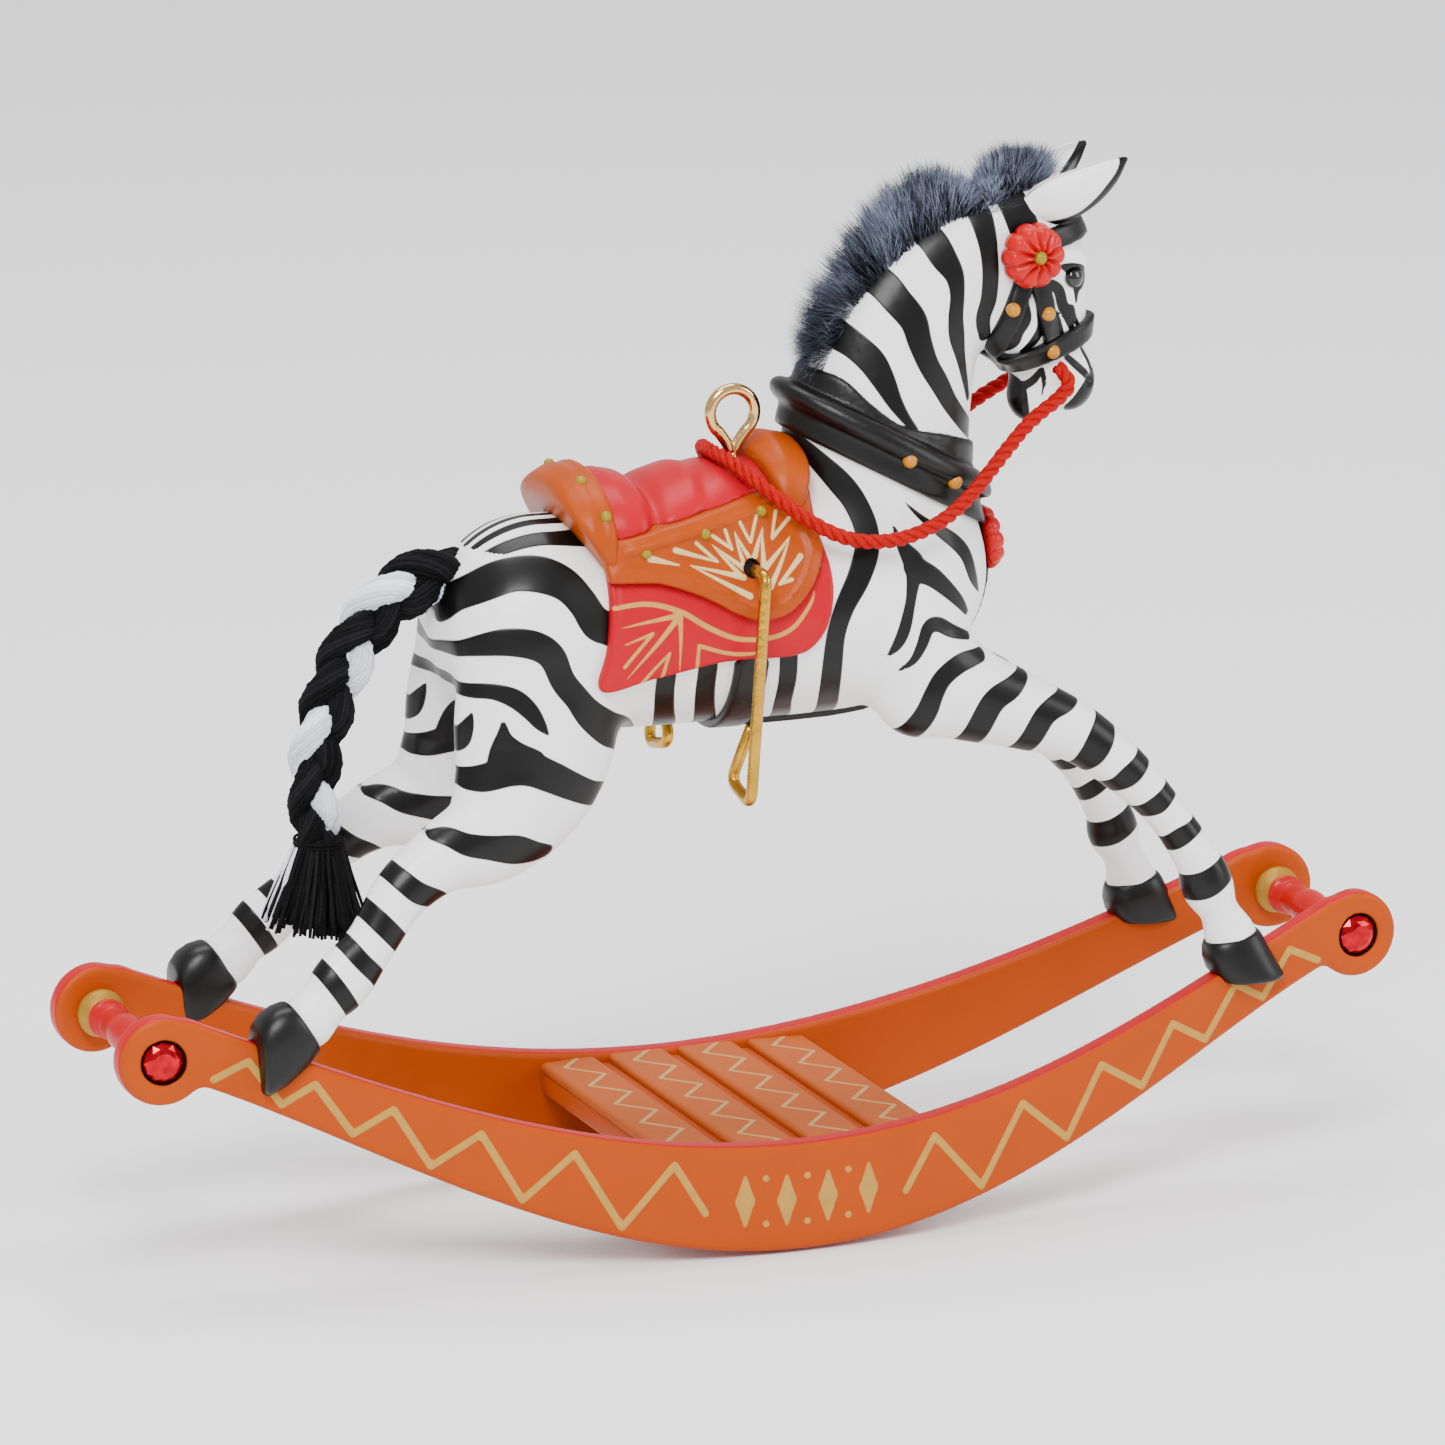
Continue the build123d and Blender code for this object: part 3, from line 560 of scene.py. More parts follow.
REAR_LEG = [(-17.0, 43.0, 5.4, -4.3, 3.1), (-17.0, 38.8, 6.2, -4.9, 3.1), (-18.0, 34.7, 5.4, -5.5, 2.8),
            (-20.8, 31.2, 3.8, -6.1, 2.5), (-25.0, 29.7, 2.55, -6.8, 2.2), (-28.3, 27.6, 2.1, -7.4, 1.9),
            (-30.8, 24.4, 1.85, -8.0, 1.65), (-33.2, 22.0, 2.2, -8.6, 1.7), (-34.6, 20.7, 1.85, -8.8, 1.5),
            (-35.9, 19.4, 2.05, -8.9, 1.65)]
FRONT_LEG = [(11.5, 41.3, 4.6, -4.4, 3.0), (15.2, 38.2, 3.7, -4.9, 2.8), (20.0, 36.2, 2.85, -5.6, 2.4),
             (24.3, 34.3, 2.2, -6.3, 2.1), (27.9, 31.4, 1.85, -7.0, 1.85), (31.0, 28.0, 1.5, -7.6, 1.6),
             (33.4, 24.3, 1.65, -8.2, 1.6), (34.1, 22.4, 1.95, -8.4, 1.7), (35.0, 20.4, 1.45, -8.6, 1.4),
             (35.9, 18.3, 1.95, -8.9, 1.65)]


def both_sides(field):
    """The nearer of a field and its mirror image across the middle plane."""
    return np.minimum(field, field[:, ::-1])


body_grid = Grid((-38.5, -11.5, 15), (41.5, 11.5, 77))
torso_field = limb_field(body_grid, TORSO)
neck_field = limb_field(body_grid, NECK)
head_field = limb_field(body_grid, HEAD, cap=0.8)
rear_field = both_sides(limb_field(body_grid, REAR_LEG))
front_field = both_sides(limb_field(body_grid, FRONT_LEG))
elbow_field = both_sides(blob_field(body_grid, (12.6, -5.2, 37.6), (3.2, 2.5, 2.8)))
chin_field = blob_field(body_grid, (23.3, 0, 58.3), (1.7, 1.5, 2.0))
nose_field = blob_field(body_grid, (26.3, 0, 59.1), (2.0, 1.95, 2.25))
jaw_field = both_sides(blob_field(body_grid, (21.6, -1.7, 64.6), (2.5, 1.7, 3.0)))
brow_field = both_sides(blob_field(body_grid, (25.6, -2.1, 68.3), (1.3, 0.8, 0.7)))
mouth_field = blob_field(body_grid, (24.9, 0, 57.4), (0.3, 3.0, 1.5))
nostril_field = both_sides(blob_field(body_grid, (27.5, -1.6, 59.3), (0.5, 0.45, 0.35)))
hollow_field = both_sides(blob_field(body_grid, (24.4, -3.4, 63.6), (0.9, 0.7, 2.6)))
eye_field = both_sides(blob_field(body_grid, (25.8, -2.75, 67.15), (0.8, 0.5, 0.65)))

head_shape = smooth_union(head_field, jaw_field, 0.8)
head_shape = smooth_union(head_shape, chin_field, 0.8)
head_shape = smooth_union(head_shape, nose_field, 0.9)
head_shape = smooth_union(head_shape, brow_field, 0.6)
head_shape = -smooth_union(-head_shape, mouth_field, 0.3)
head_shape = -smooth_union(-head_shape, nostril_field, 0.3)
head_shape = -smooth_union(-head_shape, hollow_field, 0.8)
head_shape = -smooth_union(-head_shape, eye_field - 0.12, 0.3)

skin = smooth_union(torso_field, neck_field, 2.5)
skin = smooth_union(skin, rear_field, 1.8)
front_shape = smooth_union(front_field, elbow_field, 1.0)
skin = smooth_union(skin, front_shape, 1.1)
skin = smooth_union(skin, head_shape, 1.2)

STRIPES = [
    # hindquarters
    [(-23.1, 45.7, 0.2), (-22.4, 47.4, 1.1), (-20.6, 48.7, 1.7), (-18.9, 49.4, 2.0), (-16.9, 49.4, 2.4),
     (-15.3, 48.7, 2.4), (-14.2, 47.4, 2.3), (-13.3, 45.9, 2.4), (-12.1, 45.3, 2.4), (-10.5, 44.4, 2.4)],
    [(-23.3, 43.6, 0.5), (-22.5, 44.3, 1.0), (-21.2, 44.8, 1.6), (-19.7, 45.0, 2.0), (-18.0, 44.7, 2.1),
     (-16.8, 43.8, 2.0), (-16.0, 42.0, 1.9), (-15.0, 40.7, 1.9), (-14.0, 39.4, 2.2), (-12.4, 38.1, 2.5),
     (-10.9, 37.3, 2.5), (-9.6, 36.2, 2.4)],
    [(-23.8, 41.4, 0.5), (-22.5, 41.5, 1.0), (-21.0, 41.5, 1.15), (-19.6, 41.0, 1.4), (-18.6, 40.1, 1.3),
     (-17.9, 39.1, 0.9), (-17.3, 38.3, 0.15)],
    [(-20.5, 39.6, 0.1), (-20.5, 38.5, 0.9), (-20.6, 37.2, 1.8), (-20.8, 36.0, 2.0)],
    [(-20.4, 38.4, 0.6), (-19.7, 37.2, 1.6), (-18.6, 36.3, 2.2)],
    [(-22.9, 35.3, 1.6), (-22.0, 35.4, 1.9), (-20.2, 35.9, 2.2), (-18.7, 35.9, 2.4), (-17.1, 35.2, 2.3),
     (-15.6, 34.4, 2.1), (-14.0, 33.6, 1.9), (-12.9, 33.2, 1.9), (-11.4, 32.6, 1.9)],
    [(-22.4, 40.0, 0.1), (-22.7, 39.1, 0.7), (-23.1, 38.0, 1.0), (-23.7, 37.3, 1.0)],
    [(-26.1, 31.7, 0.6), (-25.0, 31.6, 1.3), (-23.7, 31.0, 1.6), (-22.0, 30.6, 1.8), (-20.0, 30.2, 2.2),
     (-18.5, 29.8, 1.7), (-17.2, 29.6, 1.1)],
    [(-30.0, 30.2, 1.4), (-28.8, 29.0, 1.5), (-27.65, 28.0, 1.6), (-26.2, 27.3, 1.5), (-25.2, 26.6, 1.5)],
    [(-32.0, 27.8, 1.3), (-30.6, 26.2, 1.5), (-29.3, 24.8, 1.5), (-28.4, 23.9, 1.5)],
    [(-34.0, 26.2, 1.25), (-32.4, 23.9, 1.3), (-31.0, 22.4, 1.3), (-30.2, 21.4, 1.3)],
    [(-36.1, 24.8, 1.2), (-34.2, 22.0, 1.25), (-32.9, 20.1, 1.2), (-32.0, 18.9, 1.2)],
    # belly
    [(-7.7, 41.5, 1.5), (-7.6, 40.0, 1.5), (-7.1, 38.2, 1.5), (-6.2, 36.6, 1.5), (-5.4, 35.6, 1.5)],
    [(-4.6, 42.0, 1.5), (-4.5, 40.0, 1.5), (-4.0, 38.2, 1.5), (-3.1, 36.6, 1.5), (-2.3, 35.6, 1.5)],
    [(1.5, 42.5, 1.4), (1.7, 40.5, 1.4), (2.0, 38.1, 1.35), (2.9, 36.2, 1.3)],
    # shoulder
    [(4.3, 56.8, 0.8), (5.3, 55.5, 1.3), (6.5, 54.0, 1.7), (7.4, 52.6, 1.7), (7.95, 50.85, 1.75),
     (7.8, 49.3, 1.8), (6.95, 47.4, 1.75), (5.7, 45.35, 1.55), (5.05, 43.3, 1.5), (5.05, 40.8, 1.6),
     (5.45, 38.4, 1.6), (6.3, 36.2, 1.5)],
    [(11.0, 52.4, 0.15), (12.5, 51.0, 0.5), (13.75, 50.1, 0.9), (15.05, 49.1, 1.1), (15.95, 48.05, 1.1),
     (16.6, 46.4, 0.9), (17.3, 45.1, 0.2)],
    [(9.95, 50.9, 0.15), (10.4, 49.65, 0.8), (11.2, 48.35, 1.6), (11.5, 47.7, 1.8), (12.75, 47.0, 1.5),
     (14.0, 45.95, 1.2), (15.2, 44.8, 0.9), (16.0, 43.85, 0.5)],
    [(11.4, 47.9, 1.5), (11.1, 46.15, 1.0), (10.9, 45.15, 0.9), (10.4, 43.4, 1.0), (9.85, 42.3, 0.8),
     (9.15, 41.5, 0.2)],
    [(10.0, 40.35, 0.2), (11.05, 41.0, 0.6), (11.75, 42.1, 0.9), (12.35, 43.3, 1.1), (13.2, 43.45, 1.1),
     (14.4, 42.8, 1.0), (15.9, 42.2, 0.6)],
    # front leg
    [(10.9, 34.8, 1.9), (12.0, 37.05, 1.7), (12.6, 38.5, 1.5), (13.4, 39.65, 1.45), (14.85, 40.5, 1.4),
     (16.7, 40.8, 1.0)],
    [(15.8, 33.9, 1.9), (16.6, 36.45, 1.9), (17.4, 37.65, 1.8), (18.8, 38.35, 1.5), (20.1, 39.1, 0.9)],
    [(19.7, 33.0, 1.7), (20.8, 35.6, 1.7), (21.7, 36.5, 1.6), (23.1, 37.0, 1.5), (24.4, 37.5, 1.2)],
    [(27.0, 35.9, 1.7), (26.2, 35.1, 1.9), (25.5, 34.1, 2.1), (24.8, 32.9, 1.9), (24.1, 31.7, 1.2)],
    [(29.4, 32.7, 1.3), (28.65, 32.05, 1.4), (27.65, 31.25, 1.6), (26.9, 30.6, 1.3), (26.0, 30.0, 1.2)],
    [(31.5, 30.1, 1.3), (30.7, 29.6, 1.3), (29.8, 28.9, 1.45), (29.0, 28.4, 1.2), (28.2, 28.0, 1.1)],
    [(33.4, 27.3, 1.2), (32.55, 26.9, 1.2), (31.6, 26.4, 1.45), (30.9, 25.8, 1.3), (30.1, 25.4, 1.2)],
    [(35.9, 24.0, 1.9), (34.8, 23.5, 2.0), (33.3, 22.7, 2.1), (31.9, 22.3, 2.0), (31.0, 22.1, 2.0)],
    # neck
    [(6.2, 65.2, 2.2), (7.3, 64.35, 2.2), (8.35, 63.5, 2.0), (9.3, 62.45, 2.0), (10.0, 61.1, 1.7),
     (10.7, 59.55, 1.2), (11.45, 58.35, 0.8), (12.1, 57.5, 0.6)],
    [(9.4, 69.0, 2.3), (10.7, 67.8, 2.3), (11.5, 66.65, 2.2), (12.5, 65.25, 2.1), (12.9, 63.7, 1.9),
     (13.5, 62.05, 1.7), (14.4, 60.55, 1.6), (15.4, 58.9, 1.4), (17.0, 57.1, 1.3), (18.3, 56.2, 1.3)],
    [(13.6, 72.0, 2.0), (14.6, 70.75, 2.1), (15.2, 69.5, 2.0), (15.9, 68.2, 1.5), (16.05, 66.8, 1.2),
     (15.9, 65.2, 1.3), (16.0, 63.85, 1.4), (16.35, 62.4, 1.0), (16.8, 60.7, 0.7), (17.3, 59.0, 0.5)],
    [(17.8, 73.6, 1.8), (18.3, 72.4, 1.8), (18.55, 71.0, 1.6), (18.7, 69.6, 1.4), (18.8, 68.1, 1.4),
     (18.7, 66.3, 1.4), (18.3, 64.8, 1.3), (18.6, 63.5, 1.0)],
    [(5.0, 61.0, 1.6), (7.0, 60.2, 1.9), (8.6, 58.7, 1.2), (10.5, 57.6, 1.0), (12.5, 56.8, 1.0),
     (14.5, 56.2, 1.2), (17.0, 55.3, 1.2), (18.5, 54.6, 1.2)],
    # head
    [(20.4, 74.4, 2.0), (21.0, 72.8, 2.3), (21.5, 71.3, 2.4)],
    [(24.4, 68.2, 0.3), (25.2, 67.95, 0.9), (25.9, 67.4, 1.6), (26.2, 66.9, 1.4), (25.95, 66.2, 0.6),
     (25.95, 65.3, 0.2)],
    [(23.3, 67.0, 0.8), (23.9, 66.8, 0.8), (24.4, 66.3, 0.9), (24.7, 65.4, 0.9), (25.1, 64.6, 0.8),
     (25.7, 63.3, 0.5)],
    [(25.1, 65.1, 0.3), (25.5, 64.9, 0.6), (25.8, 64.2, 0.5), (26.4, 63.4, 0.3)],
    [(21.0, 67.2, 0.8), (21.4, 65.8, 0.7), (21.6, 64.6, 0.7), (21.1, 63.6, 0.6), (20.8, 62.7, 0.6),
     (19.9, 62.0, 0.4)],
    [(22.5, 66.5, 0.6), (22.7, 65.0, 0.7), (22.8, 63.8, 0.8), (22.3, 62.8, 0.8), (21.6, 62.1, 0.5)],
    [(24.1, 64.6, 0.7), (24.5, 63.6, 0.7), (24.9, 62.6, 0.5)],
    [(21.4, 59.9, 0.6), (21.8, 59.0, 1.3), (21.9, 57.9, 1.5), (22.4, 56.8, 1.0)],
    [(23.4, 60.4, 0.5), (22.9, 59.6, 0.6), (22.2, 59.1, 0.6)],
    [(23.6, 60.0, 0.4), (23.7, 59.2, 0.3), (23.6, 58.4, 0.1)],
    [(23.4, 56.5, 0.7), (24.2, 56.6, 0.6)],
    [(27.9, 59.5, 1.2), (27.3, 58.5, 1.8), (26.6, 57.6, 1.6), (26.0, 57.4, 0.8)],
    [(25.3, 61.3, 0.5), (26.1, 60.6, 0.6), (27.0, 59.8, 0.6)],
    [(26.7, 61.8, 0.3), (27.3, 60.8, 0.35), (27.6, 60.0, 0.4)],
]
BACK_STRIPES = [
    [(-10.5, 0.0, 0.8), (-19.5, 0.0, 0.7), (-22.0, 0.0, 0.4)],
    [(-11.5, 1.5, 1.0), (-15.0, 1.5, 0.9), (-18.5, 1.4, 0.8), (-21.0, 1.1, 0.6)],
    [(-10.5, 3.6, 1.6), (-12.5, 3.5, 1.6), (-15.0, 3.45, 1.25), (-18.0, 3.2, 1.1), (-20.5, 2.6, 0.9),
     (-22.0, 2.1, 0.6)],
]


def coat_ink(verts):
    """Signed distance to the stripes: side stripes everywhere, lengthwise stripes along the back."""
    side = stroke_distance(verts[:, [0, 2]], STRIPES)
    flat = np.stack([verts[:, 0], np.abs(verts[:, 1])], 1)
    top = stroke_distance(flat, BACK_STRIPES)
    upper = (verts[:, 2] > 50.6) & (verts[:, 0] < -9)
    return np.where(upper, np.minimum(top, side), side)


def build_zebra():
    verts, quads, normals = net(body_grid, skin)
    place = (verts - body_grid.low) / body_grid.step
    ink = coat_ink(verts)
    fields = [torso_field, neck_field, head_shape, rear_field, front_shape]
    values = np.stack([sample(f, place) for f in fields], 1)
    owner = values.argmin(1)
    centre = verts[quads].mean(1)
    part = owner[quads[:, 0]]
    side = centre[:, 1] > 0
    plans = [
        ("zebra_torso", part == 0, ["torso_right", "torso_left"]),
        ("zebra_neck", part == 1, ["neck"]),
        ("zebra_head", part == 2, ["head"]),
        ("zebra_rear_leg_right", (part == 3) & ~side, ["rear_leg_right"]),
        ("zebra_rear_leg_left", (part == 3) & side, ["rear_leg_left"]),
        ("zebra_front_leg_right", (part == 4) & ~side, ["front_leg_right"]),
        ("zebra_front_leg_left", (part == 4) & side, ["front_leg_left"]),
    ]
    for name, chosen, nodes in plans:
        kept = quads[chosen]
        used, where = np.unique(kept, return_inverse=True)
        piece(name, verts[used], where.reshape(kept.shape), COAT, "coat", nodes, normals=normals[used],
              floats={"ink": ink[used]})


build_zebra()


def field_piece(name, grid, field, material, slot, nodes=(), times=0, floats=None):
    """A piece from a field's surface. floats maps attribute names to functions of points and normals."""
    verts, quads, normals = net(grid, field)
    if times:
        verts, quads, normals = refine(verts, quads, normals, times)
    values = {key: make(verts, normals) for key, make in (floats or {}).items()}
    return piece(name, verts, quads, material, slot, nodes, normals=normals, floats=values)


def part_of(low, high):
    """A smaller grid on the body grid's own sample points, with the skin's field in it."""
    step = body_grid.step
    first = np.round((np.array(low) - body_grid.low) / step).astype(int)
    last = np.round((np.array(high) - body_grid.low) / step).astype(int)
    first = np.maximum(first, 0)
    last = np.minimum(last, np.array(skin.shape) - 1)
    grid = Grid(body_grid.low + first * step, body_grid.low + last * step, step)
    cut = tuple(slice(a, b + 1) for a, b in zip(first, last))
    shape = skin[cut]
    nx, ny, nz = (min(len(axis), n) for axis, n in zip((grid.x, grid.y, grid.z), shape.shape))
    grid.x, grid.y, grid.z = grid.x[:nx], grid.y[:ny], grid.z[:nz]
    grid.X, grid.Y, grid.Z = grid.x[:, None, None], grid.y[None, :, None], grid.z[None, None, :]
    return grid, shape[:nx, :ny, :nz], cut


def flat_strokes(grid, strokes):
    """Stroke distance in the side view, the same at every y."""
    X, Z = np.meshgrid(grid.x, grid.z, indexing="ij")
    value = stroke_distance(np.stack([X.ravel(), Z.ravel()], 1), strokes)
    return value.reshape(X.shape)[:, None, :]


def flat_outline(grid, points):
    X, Z = np.meshgrid(grid.x, grid.z, indexing="ij")
    return outline_distance(X, Z, points)[:, None, :]


# ---------------------------------------------------------------- saddle

BLANKET_OUTLINE = [(-12.4, 56), (-12.1, 52), (-12.1, 48), (-12.5, 44), (-13.0, 40.9), (-8.3, 41.4),
                   (-3.5, 42.2), (1.4, 42.2), (3.2, 42.8), (4.4, 44.6), (4.9, 47.5), (4.5, 50.6),
                   (3.6, 56), (-4, 58)]
FLAP_OUTLINE = [(-12.0, 56), (-12.4, 52), (-12.3, 49.0), (-11.6, 48.6), (-8.3, 48.3), (-5.1, 47.1),
                (-2.8, 45.8), (-0.9, 45.2), (1.3, 45.7), (3.2, 47.6), (4.2, 49.7), (4.0, 51.3), (3.2, 56),
                (-4, 58)]
HOLE = (-1.4, 48.9)
STARBURST = [
    [(-6.1, 49.5, 0.06), (-2.2, 48.4, 0.42)], [(-6.1, 49.5, 0.06), (-1.9, 47.1, 0.46)],
    [(-4.25, 50.75, 0.06), (-2.3, 48.4, 0.38)], [(-4.25, 50.75, 0.06), (-2.1, 49.0, 0.38)],
    [(-2.4, 51.5, 0.06), (-2.0, 49.2, 0.38)], [(-2.4, 51.5, 0.06), (-1.5, 49.6, 0.34)],
    [(-0.1, 51.6, 0.06), (-1.1, 49.7, 0.38)], [(-0.1, 51.6, 0.06), (-0.6, 48.9, 0.42)],
    [(1.9, 50.8, 0.06), (-0.6, 48.8, 0.42)], [(1.9, 50.8, 0.06), (-0.3, 47.6, 0.42)],
    [(-7.15, 50.65, 0.42), (-3.95, 49.55, 0.12)], [(-5.5, 51.0, 0.27), (-4.0, 49.6, 0.22)],
    [(-4.2, 51.4, 0.27), (-2.75, 50.35, 0.22)], [(-3.15, 51.7, 0.27), (-2.72, 50.3, 0.22)],
    [(-1.9, 52.1, 0.27), (-1.25, 50.7, 0.22)], [(-0.5, 52.4, 0.27), (-1.2, 50.65, 0.22)],
    [(1.1, 52.5, 0.27), (0.5, 50.8, 0.22)], [(2.1, 52.0, 0.27), (0.5, 50.75, 0.22)],
    [(2.35, 49.5, 0.4), (0.4, 47.75, 0.2)], [(1.4, 48.0, 0.27), (0.4, 47.75, 0.2)],
    [(-9.1, 50.2, 0.5), (-6.85, 49.55, 0.1)],
]
BLANKET_GOLD = [
    [(-12.0, 46.9, 0.3), (-9.3, 46.95, 0.35), (-6.9, 46.2, 0.38), (-4.9, 44.95, 0.38), (-2.7, 43.95, 0.36),
     (-0.3, 43.8, 0.36), (1.5, 44.4, 0.34), (2.9, 46.0, 0.26), (3.3, 46.9, 0.1)],
    [(-7.0, 46.0, 0.4), (-11.5, 45.45, 0.08)],
    [(-7.0, 46.0, 0.42), (-9.0, 43.8, 0.3), (-11.05, 41.7, 0.06)],
    [(-7.0, 46.0, 0.4), (-7.0, 41.9, 0.06)],
    [(-9.1, 44.85, 0.25), (-11.3, 44.2, 0.12)],
    [(-9.1, 44.85, 0.25), (-11.3, 42.6, 0.3)],
    [(-7.8, 43.3, 0.2), (-9.9, 41.2, 0.28)],
    [(-7.8, 43.3, 0.2), (-8.3, 41.5, 0.3)],
    [(-5.6, 43.65, 0.25), (-5.7, 42.0, 0.28)],
    [(-5.6, 43.65, 0.3), (-3.5, 42.95, 0.28), (-1.9, 42.75, 0.26), (-0.4, 42.85, 0.08)],
]


def side_gold(strokes):
    """Paint on both flanks, as strokes in the side view."""
    def make(verts, normals):
        value = stroke_distance(verts[:, [0, 2]], strokes)
        return np.where(np.abs(normals[:, 1]) > 0.35, value, 9)
    return make


def oval_bar(grid, rows, ends):
    """Lengthwise oval through rows of x, lowest z, highest z, half width, cut at both ends."""
    rows = np.asarray(rows, float)
    low = np.interp(grid.x, rows[:, 0], rows[:, 1])[:, None, None]
    high = np.interp(grid.x, rows[:, 0], rows[:, 2])[:, None, None]
    wide = np.interp(grid.x, rows[:, 0], rows[:, 3])[:, None, None]
    half = (high - low) / 2
    r = np.sqrt((grid.Y / wide) ** 2 + ((grid.Z - (high + low) / 2) / half) ** 2)
    field = (r - 1) * np.minimum(half, wide)
    cap = np.abs(grid.X - sum(ends) / 2) - (ends[1] - ends[0]) / 2
    return smooth_cut(field, cap + 0 * field, 0.7)


SEAT_ROWS = [(-12.0, 47, 55.2, 6.1), (-10.4, 47, 55.5, 6.5), (-9.0, 47, 55.2, 6.6), (-7.7, 47, 54.5, 6.5),
             (-6.6, 47, 54.9, 6.5), (-4.6, 47, 55.5, 6.3), (-2.0, 47, 55.5, 5.9), (0.5, 47, 55.4, 5.5),
             (2.6, 47, 55.6, 5.1)]


def pin_hole_shade(verts, normals):
    """Painted shade darkening the hole the stirrup's pin turns in."""
    return np.hypot(verts[:, 0] - HOLE[0], verts[:, 2] - HOLE[1]) - 0.66


def plain(verts, normals):
    """No painted pattern."""
    return np.full(len(verts), 9.0)


def build_saddle():
    """Blanket, two flaps, cantle, pommel and seat; returns the grid and the leather's field for the studs."""
    grid, body, _ = part_of((-17, -11.5, 38), (8, 11.5, 61))
    outline = flat_outline(grid, BLANKET_OUTLINE)
    blanket = smooth_cut(np.abs(body - 0.1) - 0.45, outline + 0 * body, 0.3)
    hem = 0.12 * np.exp(-((outline + 0.35) / 0.22) ** 2)
    field_piece("saddle_blanket_red", grid, blanket - hem, SADDLE_RED, "saddle_red", ["saddle_blanket"], 1,
                {"gold": side_gold(BLANKET_GOLD)})

    seat_line = 51.3 + 0.2 * (grid.X + 11.6)
    edge = flat_outline(grid, FLAP_OUTLINE)
    welt = 0.26 * np.exp(-((edge + 0.9) / 0.2) ** 2) * (grid.Z < 52)
    flap = smooth_cut(np.abs(body - 0.85) - 0.5, edge + 0 * body, 0.35) - welt
    rise = oval_bar(grid, [(x, low, high, wide + 0.4) for x, low, high, wide in SEAT_ROWS], (-11.9, 3.2))
    rise = smooth_cut(rise, grid.Z - seat_line - 0.15 + 0 * rise, 0.3)
    rise = smooth_cut(rise, 49.8 - grid.Z + 0 * rise, 0.6)
    piping = 0.24 * np.exp(-((grid.Z - seat_line + 0.75) / 0.2) ** 2)
    flap = smooth_union(flap, rise - piping, 0.7)
    # the hole is cut shallow so that its floor carries the painted shade of the hole
    hole = np.sqrt((grid.X - HOLE[0]) ** 2 + (grid.Z - HOLE[1]) ** 2) - 0.62 + 0 * body
    hole = np.maximum(hole, 0.75 - body)
    flap = -smooth_union(-flap, hole, 0.2)
    for name, side in (("right", -1), ("left", 1)):
        half = np.maximum(flap, 2.6 - side * grid.Y)
        field_piece("saddle_flap_leather_" + name, grid, half, LEATHER, "saddle_leather",
                    ["saddle_flap_" + name], 1, {"gold": side_gold(STARBURST), "hollow": pin_hole_shade})

    cantle = oval_bar(grid, [(-14.8, 46, 55.2, 6.6), (-13.2, 46, 56, 7.1), (-11.2, 46, 55.7, 7.0)],
                      (-14.8, -11.3))
    rim = oval_bar(grid, [(-12.6, 46, 56.2, 7.3), (-11.2, 46, 56.1, 7.3)], (-12.4, -11.6))
    cantle = smooth_union(cantle, rim, 0.3)
    slant = -14.9 + 0.62 * np.maximum(0, 53.9 - grid.Z) - grid.X
    cantle = smooth_cut(cantle, slant + 0 * cantle, 0.6)
    cantle = smooth_cut(cantle, 48.6 - grid.Z + 0 * cantle, 0.4)
    field_piece("saddle_cantle_leather", grid, cantle, LEATHER, "saddle_leather", ["saddle_cantle"], 0,
                {"gold": plain, "hollow": plain})
    pommel = oval_bar(grid, [(0.5, 48, 56.0, 5.5), (2.4, 48, 57.3, 5.6), (4.2, 48, 56.9, 5.5),
                             (5.5, 48, 55.4, 5.3)], (0.5, 5.5))
    front = grid.X - 5.4 + 0.45 * (57 - grid.Z)
    back = 0.5 + 0.3 * (57 - grid.Z) - grid.X
    pommel = smooth_cut(pommel, np.maximum(front, back) + 0 * pommel, 0.6)
    pommel = np.maximum(pommel, 50.6 - grid.Z)
    field_piece("saddle_pommel_leather", grid, pommel, LEATHER, "saddle_leather", ["saddle_pommel"], 0,
                {"gold": plain, "hollow": plain})
    seat = oval_bar(grid, SEAT_ROWS, (-12.0, 2.6))
    crease = 0.4 * np.exp(-((grid.X + 7.5 + 0.25 * (55 - grid.Z)) / 0.6) ** 2)
    fold = 0.18 * np.exp(-((grid.X + 3.4 + 0.5 * (55 - grid.Z)) / 0.7) ** 2)
    seat = smooth_cut(seat + crease + fold, seat_line - grid.Z + 0 * body, 0.4)
    field_piece("saddle_seat_red", grid, seat, SADDLE_RED, "saddle_red", ["saddle_seat"], 0, {"gold": plain})
    return grid, np.minimum(flap, cantle)


saddle_grid, saddle_surface = build_saddle()


# ---------------------------------------------------------------- harness

def line_coordinates(grid, start, end):
    """Distance along and across a line in the side view."""
    dx, dz = end[0] - start[0], end[1] - start[1]
    length = math.hypot(dx, dz)
    along = ((grid.X - start[0]) * dx + (grid.Z - start[1]) * dz) / length
    across = ((grid.Z - start[1]) * dx - (grid.X - start[0]) * dz) / length
    return along, across


COLLAR_LINE = (0.5, 61.1), (21.0, 50.2)
COLLAR_UPPER_EDGE = [(4.6, 61.2, 1.5), (6.6, 60.6, 1.9), (8.4, 59.2, 1.3), (10.5, 57.7, 1.0),
                     (12.5, 56.9, 1.1), (14.5, 56.2, 1.5), (16.5, 55.3, 1.8), (18.6, 54.3, 1.9)]


